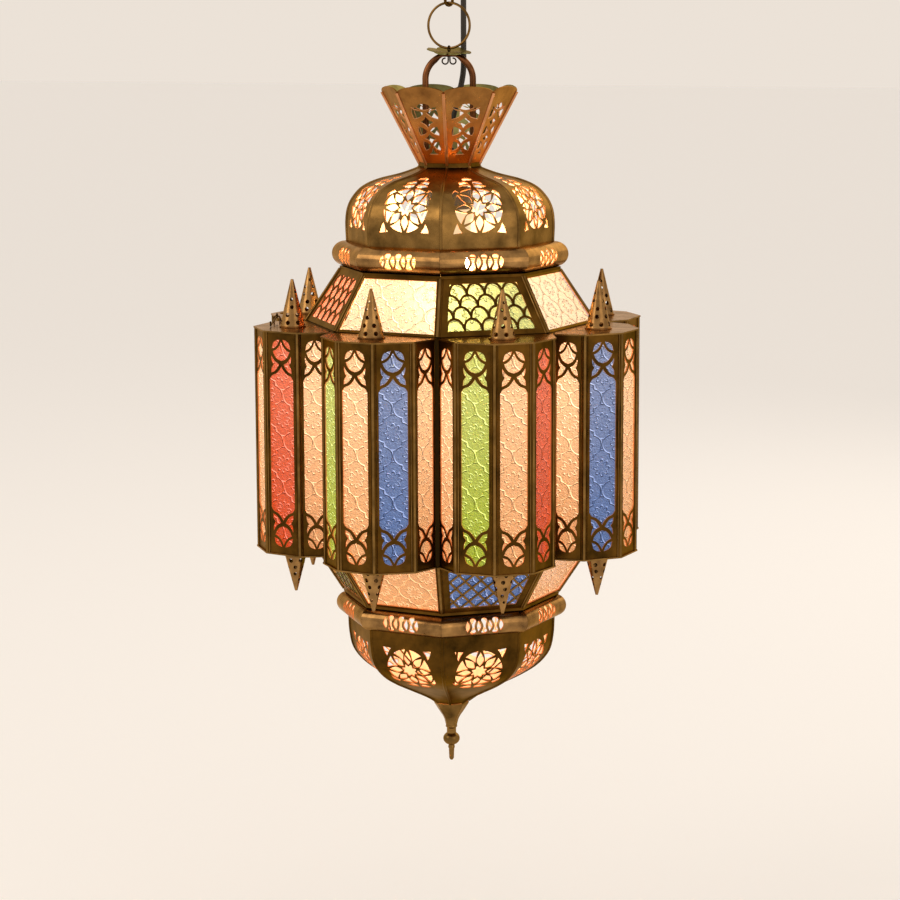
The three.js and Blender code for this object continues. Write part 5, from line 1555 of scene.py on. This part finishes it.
def tracery(half, height):
    """Openings of a pane: ogee-ended window, and lenses, onion and wings at both ends"""
    wide = half / 11.4
    lens = outline([(-0.9, 6.3), (-4.6, 7.2), (-7.3, 9.6), (-8.5, 14.6)],
                   [(-8.5, 14.6), (-5.2, 13.2), (-2.6, 10.4), (-0.9, 6.3)], per_span=4)
    left = outline([(0, 7.6), (-1.9, 11.4), (-4.3, 14.3), (-7.6, 16.1)],
                   [(-7.6, 16.1), (-6.3, 19.4), (-3.6, 22.5), (0, 23.8)], per_span=4)
    onion = np.concatenate([left, [(0, 23.8)], mirrored(left)[:-1]])
    wing = outline([(-8.7, 18.6), (-9.0, 21.2), (-8.5, 24.4), (-7.2, 26.8)],
                   [(-7.2, 26.8), (-8.9, 29.6), (-9.3, 33.8)],
                   [(-9.3, 33.8), (-5.7, 32.2), (-3.2, 29.2), (-1.7, 26.3)],
                   [(-1.7, 26.3), (-4.6, 24.6), (-7.0, 21.9), (-8.7, 18.6)], per_span=4)
    top = outline([(0, 27.6), (-2.1, 30.8), (-5, 33.6), (-8.8, 35.2)],
                  [(-8.8, 35.2), (-10, 36.3)], [(-10, 36.3), (-11.4, 38.9)], per_span=4)
    top = np.concatenate([top, [(-11.4, 38.9)]])
    end = [lens, mirrored(lens), onion, wing, mirrored(wing)]
    near = [shape * (wide * 1.08, 1) for shape in end]
    far = [shape * (wide * 1.08, -1) + (0, height) for shape in end]
    quarter = top * (wide, 1)
    first = np.concatenate([quarter[::-1], mirrored(quarter)[::-1][1:]])
    last = (first * (1, -1) + (0, height))[::-1]
    return [narrowed(shape, 0.3) for shape in (*near, *far, np.concatenate([first, last]))]


def spire(height, radius, tip):
    """Hollow cone with rows of round holes"""
    around = 2 * math.pi * radius
    rows = ((0.11, 7, 1.8), (0.27, 6, 1.75), (0.43, 5, 1.6), (0.59, 4, 1.4), (0.74, 3, 1.15))
    holes = []
    turns = 2 * np.pi * np.arange(16) / 16
    for index, (share, count, size) in enumerate(rows):
        here = radius + (tip - radius) * share
        for k in range(count):
            u = around * ((k + 0.5 + 0.25 * (index % 2)) / count - 0.5)
            x = u + size * radius / here * np.cos(turns)
            y = share * height + size * np.sin(turns)
            holes.append(np.stack([x, y], axis=1))
    edge = [(-around / 2, 0), (around / 2, 0), (around / 2, height), (-around / 2, height)]
    folds = np.linspace(-around / 2, around / 2, 37)[1:-1]
    flat = pierced(edge, holes, 0.8, folds=folds)

    def place(points):
        u, v, depth = points.T
        turn = u / radius
        here = radius + (tip - radius) * v / height + depth
        return np.stack([here * np.cos(turn), here * np.sin(turn), v], axis=1)

    foot = lathe([(radius, 0), (radius + 0.4, 0.2), (radius + 0.4, 1.1), (radius - 0.4, 1.3)], 36)
    cap = lathe([(tip, height), (tip * 0.6, height), (0, height)], 24)
    whole = joined([flat.placed(place), foot, cap])
    # The whole spire takes the bright kind: wiped wear and a painted highlight
    whole.kinds[:] = BRIGHT
    return whole


def bay_shape(mm):
    """One bay that faces +X: five pierced walls, cames, two plates and two spires"""
    corners = bay_corners(mm)
    low, high = drum_ends()
    plate = mm["plate"]
    height = high - low - 2 * plate
    parts = []
    last = len(corners) - 2
    for number, (start, end) in enumerate(zip(corners, corners[1:])):
        half = np.linalg.norm(end - start) / 2
        edge = [(-half, 0), (half, 0), (half, height), (-half, height)]
        left = mm["border"] if number else mm["valley_border"]
        right = mm["border"] if number < last else mm["valley_border"]
        openings = tracery(half - (left + right) / 2, height + 2 * plate)
        openings = [shape + ((left - right) / 2, -plate) for shape in openings]
        flat = pierced(edge, openings, mm["sheet"])
        parts.append(flat.placed(on_pane(start, end, low + plate)))
    for i in range(1, len(corners) - 1):
        before = corners[i] - corners[i - 1]
        after = corners[i + 1] - corners[i]
        normals = [np.array([d[1], -d[0]]) / np.linalg.norm(d) for d in (before, after)]
        out = sum(normals)
        fold = math.degrees(math.acos(normals[0].dot(normals[1]))) / 2
        ends = [(*corners[i], low + plate), (*corners[i], high - plate)]
        outs = [(*out, 0.0)] * 2
        parts.append(seam(ends, outs, mm["came_half"], mm["came_rise"], fold, 0.5))
    outer = offset_corners(corners, mm["plate_lip"])
    inner = mm["drum_flat"] + mm["gap"]
    end_half = mm["drum_flat"] * HALF_SIDE - 2.4 * mm["post"]
    edge = [corners[0], *outer, corners[-1], (inner, end_half), (inner, -end_half)]
    for top in (high, low + plate):
        sheet = pierced(edge, [], plate, rim=RIDGE).shifted(z=top)
        # Plate rims take the worn brass and upper faces the rubbed: wear, with a painted highlight on the rims and a
        # painted reflection of the lit glass on the faces
        sheet.kinds[sheet.kinds == OUTSIDE] = BRIGHT
        sheet.kinds[sheet.kinds == INSIDE] = OUTSIDE
        parts.append(sheet)
    place = mm["drum_flat"] + mm["spire_depth"]
    upper_height = 38.4
    lower_height = 35.7
    up = spire(upper_height, mm["spire_radius"], mm["spire_tip"])
    down = spire(lower_height, mm["spire_radius"], mm["spire_tip"])
    parts.append(up.shifted(x=place, z=high))
    parts.append(down.placed(lambda points: points * (1, 1, -1)).shifted(x=place, z=low))
    return joined(parts)


def drum_ends():
    return span("drum_frame")


class LANTERN_OT_bays(Operator):
    """Eight glazed bays, the first of them the door"""

    bl_idname = "lantern.bays"
    bl_label = "Bays"

    def execute(self, context):
        mm = millimetres()
        plain_bay = bay_shape(mm)
        parts = ["aged brass", "lit side", "lit edge", "worn brass", "rubbed brass"]
        for k in range(SIDES):
            name = f"bay_{k}" if k else "door"
            body = "lantern" if k else "door"
            turn = DOOR_TURN + FACE_TURN * k
            node = f"{name}_frame"
            extras = {0: self.door_fittings, 1: self.staple}
            shape = joined([plain_bay, extras[k](mm)]) if k in extras else plain_bay
            piece(f"{name}_brass", shape.turned(turn), parts, body, [node], "aged_brass", 28)
            first, second = BAY_COLOURS[k]
            groups = (("clear", (0, 2, 4)), (first, (1,)), (second, (3,)))
            for tint, panes in groups:
                glass = joined([self.pane(mm, number) for number in panes]).turned(turn)
                label = f"{name}_{tint}_panes" if len(panes) > 1 else f"{name}_{tint}_pane"
                piece(label, glass, [tint], body, [f"{name}_glass"], f"{tint}_glass")
        return {"FINISHED"}

    def latch_place(self, mm):
        """Middle of the hook's fittings beside the corner between the door and the next bay"""
        turn = math.radians(FACE_TURN / 2)
        eye_depth = 23.6
        half = 37.5
        out = mm["drum_flat"] + eye_depth
        x = out * math.cos(turn) + half * math.sin(turn)
        return x, out * math.sin(turn) - half * math.cos(turn)

    def door_fittings(self, mm):
        """Knuckles on the door's side wall and the eye on its top plate"""
        corners = bay_corners(mm)
        along = corners[1] - corners[0]
        along = along / np.linalg.norm(along)
        out = np.array([along[1], -along[0]])
        pin_gap = 5.5
        reach = mm["drum_flat"] * TO_CORNER + pin_gap
        turn = math.radians(FACE_TURN / 2)
        axis = np.array([reach * math.cos(turn), -reach * math.sin(turn)])
        distance = (axis - corners[0]).dot(out)
        top = drum_ends()[1]
        parts = []
        bore = 1.35
        half_knuckle = 5
        for height in (-40, -141):
            low = top + height - half_knuckle
            high = top + height + half_knuckle
            tube = [(bore, low), (1.9, low), (2.2, low + 0.4)]
            tube += [(2.2, high - 0.4), (1.9, high), (bore, high)]
            parts.append(lathe([*tube, tube[0]], 24).shifted(x=axis[0], y=axis[1]))
            near = axis - out * bore
            far = axis - out * (distance + 0.4)
            half_leaf = along * 0.8
            leaf = [near + half_leaf, near - half_leaf, far - half_leaf, far + half_leaf]
            parts.append(pierced(leaf, [], high - low).shifted(z=high))
        x, y = self.latch_place(mm)
        turns = 2 * np.pi * np.arange(20) / 20
        radius = 2.2
        height = top + 3.3
        ring = [(radius * math.cos(t), radius * math.sin(t), height) for t in turns]
        eye = wire(ring, LATCH_WIRE, 10, closed=True)
        stem = wire([(0, -radius, top - 0.5), (0, -radius, height)], LATCH_WIRE, 10, out=(1, 0, 0))
        parts.append(joined([eye, stem]).shifted(x=x, y=-y).turned(FACE_TURN / 2))
        for part in parts:
            part.kinds[:] = OUTSIDE
        return joined(parts)

    def staple(self, mm):
        """Wire staple that the door's hook turns in"""
        top = drum_ends()[1]
        half = 2.4
        foot = top - 0.5
        knee = top + 1.5
        turns = np.radians(range(0, 181, 20))
        bend = [(half * math.cos(t), 0, top + 3.6 + 1.5 * math.sin(t)) for t in turns]
        path = [(half, 0, foot), (half, 0, knee), *bend, (-half, 0, knee), (-half, 0, foot)]
        x, y = self.latch_place(mm)
        return wire(path, LATCH_WIRE, 10, out=(0, 1, 0)).shifted(x=x, y=y).turned(-FACE_TURN / 2)

    def pane(self, mm, number):
        """Glass behind one wall of a bay that faces +X"""
        corners = bay_corners(mm)
        depth = mm["sheet"] + mm["gap"]
        front = offset_corners(corners, -depth)
        back = offset_corners(corners, -depth - mm["glass"])
        low, high = drum_ends()
        rest = mm["plate"] + mm["gap"]
        right = corners[number + 1] - corners[number]
        right = right / np.linalg.norm(right) * 0.12
        ends = [front[number] + right, front[number + 1] - right, back[number + 1] - right,
                back[number] + right]
        points = [(*end, z) for z in (low + rest, high - rest) for end in ends]
        faces = [0, 1, 2, 3, 7, 6, 5, 4, 0, 4, 5, 1, 1, 5, 6, 2, 2, 6, 7, 3, 3, 7, 4, 0]
        middle = (corners[number] + corners[number + 1]) / 2
        along = right / np.linalg.norm(right)
        flat = [((np.array(p[:2]) - middle).dot(along), p[2] - low) for p in points]
        return Shape(points, faces, [4] * 6, [OUTSIDE] * 6, np.array(flat))


class LANTERN_OT_lamp(Operator):
    """Lampholder and lit bulb"""

    bl_idname = "lantern.lamp"
    bl_label = "Lamp"

    def execute(self, context):
        low, high = span("bulb")
        glass = BULB_RADIUS
        neck = 13.2
        centre = low + glass
        turns = np.radians(np.arange(-90, 46, 7.5))
        ball = [(glass * math.cos(t), centre + glass * math.sin(t)) for t in turns]
        base = high - 26
        profile = [*ball, (neck + 1.5, base - 12), (neck, base - 6), (neck, high - 4), (neck * 0.4, high)]
        smooth = spline(profile[:-2], 2)
        bulb = lathe([*smooth[1:], *profile[-2:], (0.01, high)], 48)
        piece("frosted_bulb", bulb, ["bulb"], "lantern", ["bulb"], "bulb_glass")

        low, high = span("lampholder_cap")
        cap = [(5.3, high), (14, high), (17.6, high - 1.5), (19, high - 5), (19, low), (17.2, low)]
        cap += [(17.2, high - 3), (5.3, high - 1.8), (5.3, high)]
        black = ["black plastic"]
        piece("holder_cap", lathe(cap, 48), black, "lantern", ["lampholder_cap"], "black_plastic")
        low, high = span("lampholder_shell")
        shell = [(13.5, high), (19, high), (19, high - 8), (17.5, high - 8.2)]
        for z in np.arange(high - 11, low + 3, -3):
            shell += [(17.5, z), (17.1, z - 0.7), (17.5, z - 1.4)]
        shell += [(17.5, low), (13.5, low), (13.5, high)]
        lit = ["lit plastic"]
        piece("holder_shell", lathe(shell, 48), lit, "lantern", ["lampholder_shell"], "black_plastic")
        low, high = span("cord_grip")
        grip = [(2.65, high), (3.8, high), (4.2, high - 2), (6.2, low + 3), (6.4, low), (2.65, low)]
        piece("grip", lathe([*grip, grip[0]], 32), black, "lantern", ["cord_grip"], "black_plastic")
        return {"FINISHED"}


class LANTERN_OT_finial(Operator):
    """Eight-sided cup, ball and pin under the bowl, and the finish of the CAD parts in view"""

    bl_idname = "lantern.finial"
    bl_label = "Finial"

    def execute(self, context):
        low, high = span("finial")
        rim = 13.6 * TO_CORNER
        side = spline([(4.6, high - 21), (6.4, high - 14.5), (10.5, high - 8), (rim - 0.4, high - 2)], 5)
        cup = lathe([(0, high - 21), *side, (rim, high - 1), (rim, high), (0, high)], 8, 22.5)
        ball = 7.0
        top = high - 27
        middle = top - 5.4
        turns = np.radians(np.arange(62, -71, -11))
        round_ball = [(ball * math.cos(t), middle + 0.82 * ball * math.sin(t)) for t in turns]
        stem = [(0, high - 20.5), (4.6, high - 20.5), (4.9, high - 22)]
        stem += [(3.9, high - 23.4), (3.9, top - 0.6)]
        pin = [(2.9, middle - 7.6), (2.3, middle - 9), (2.0, low + 2), (1.2, low + 0.5), (0, low)]
        turned = lathe([*stem, *round_ball, *pin], 32)
        whole = joined([cup, turned])
        piece("finial_cup_and_ball", whole, ["worn brass"], "lantern", ["finial"], "aged_brass", 32)
        dress(["drum_frame", "neck_plate", "nipple", "hinge_pin", "door_hook"], "dark brass")
        return {"FINISHED"}


def register():
    for thing in CLASSES:
        bpy.utils.register_class(thing)
    bpy.types.Scene.lantern_sizes = PointerProperty(type=LanternSizes)
    bpy.types.Scene.lantern_colours = PointerProperty(type=LanternColours)


def unregister():
    del bpy.types.Scene.lantern_colours
    del bpy.types.Scene.lantern_sizes
    for thing in reversed(CLASSES):
        bpy.utils.unregister_class(thing)


STEPS = (
    LANTERN_OT_stage,
    LANTERN_OT_cable,
    LANTERN_OT_ceiling,
    LANTERN_OT_chain,
    LANTERN_OT_swivel,
    LANTERN_OT_crown,
    LANTERN_OT_dome,
    LANTERN_OT_rings,
    LANTERN_OT_skirts,
    LANTERN_OT_bays,
    LANTERN_OT_lamp,
    LANTERN_OT_finial,
)


class LANTERN_PT_sidebar(Panel):
    """The lantern's steps in the sidebar"""

    bl_label = "Lantern"
    bl_idname = "LANTERN_PT_sidebar"
    bl_space_type = "VIEW_3D"
    bl_region_type = "UI"
    bl_category = "Lantern"

    def draw(self, context):
        for step in STEPS:
            self.layout.operator(step.bl_idname)
        for group in (context.scene.lantern_sizes, context.scene.lantern_colours):
            for name in type(group).__annotations__:
                self.layout.prop(group, name)


CLASSES = (LanternSizes, LanternColours, *STEPS, LANTERN_PT_sidebar)


def main():
    register()
    for step in STEPS:
        family, name = step.bl_idname.split(".")
        getattr(getattr(bpy.ops, family), name)()
    boxes = {"cad": cad_box, "visual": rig.bounds()}
    with open("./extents.json", "w") as out:
        json.dump({name: [list(corner) for corner in box] for name, box in boxes.items()}, out)


if __name__ == "__main__":
    main()
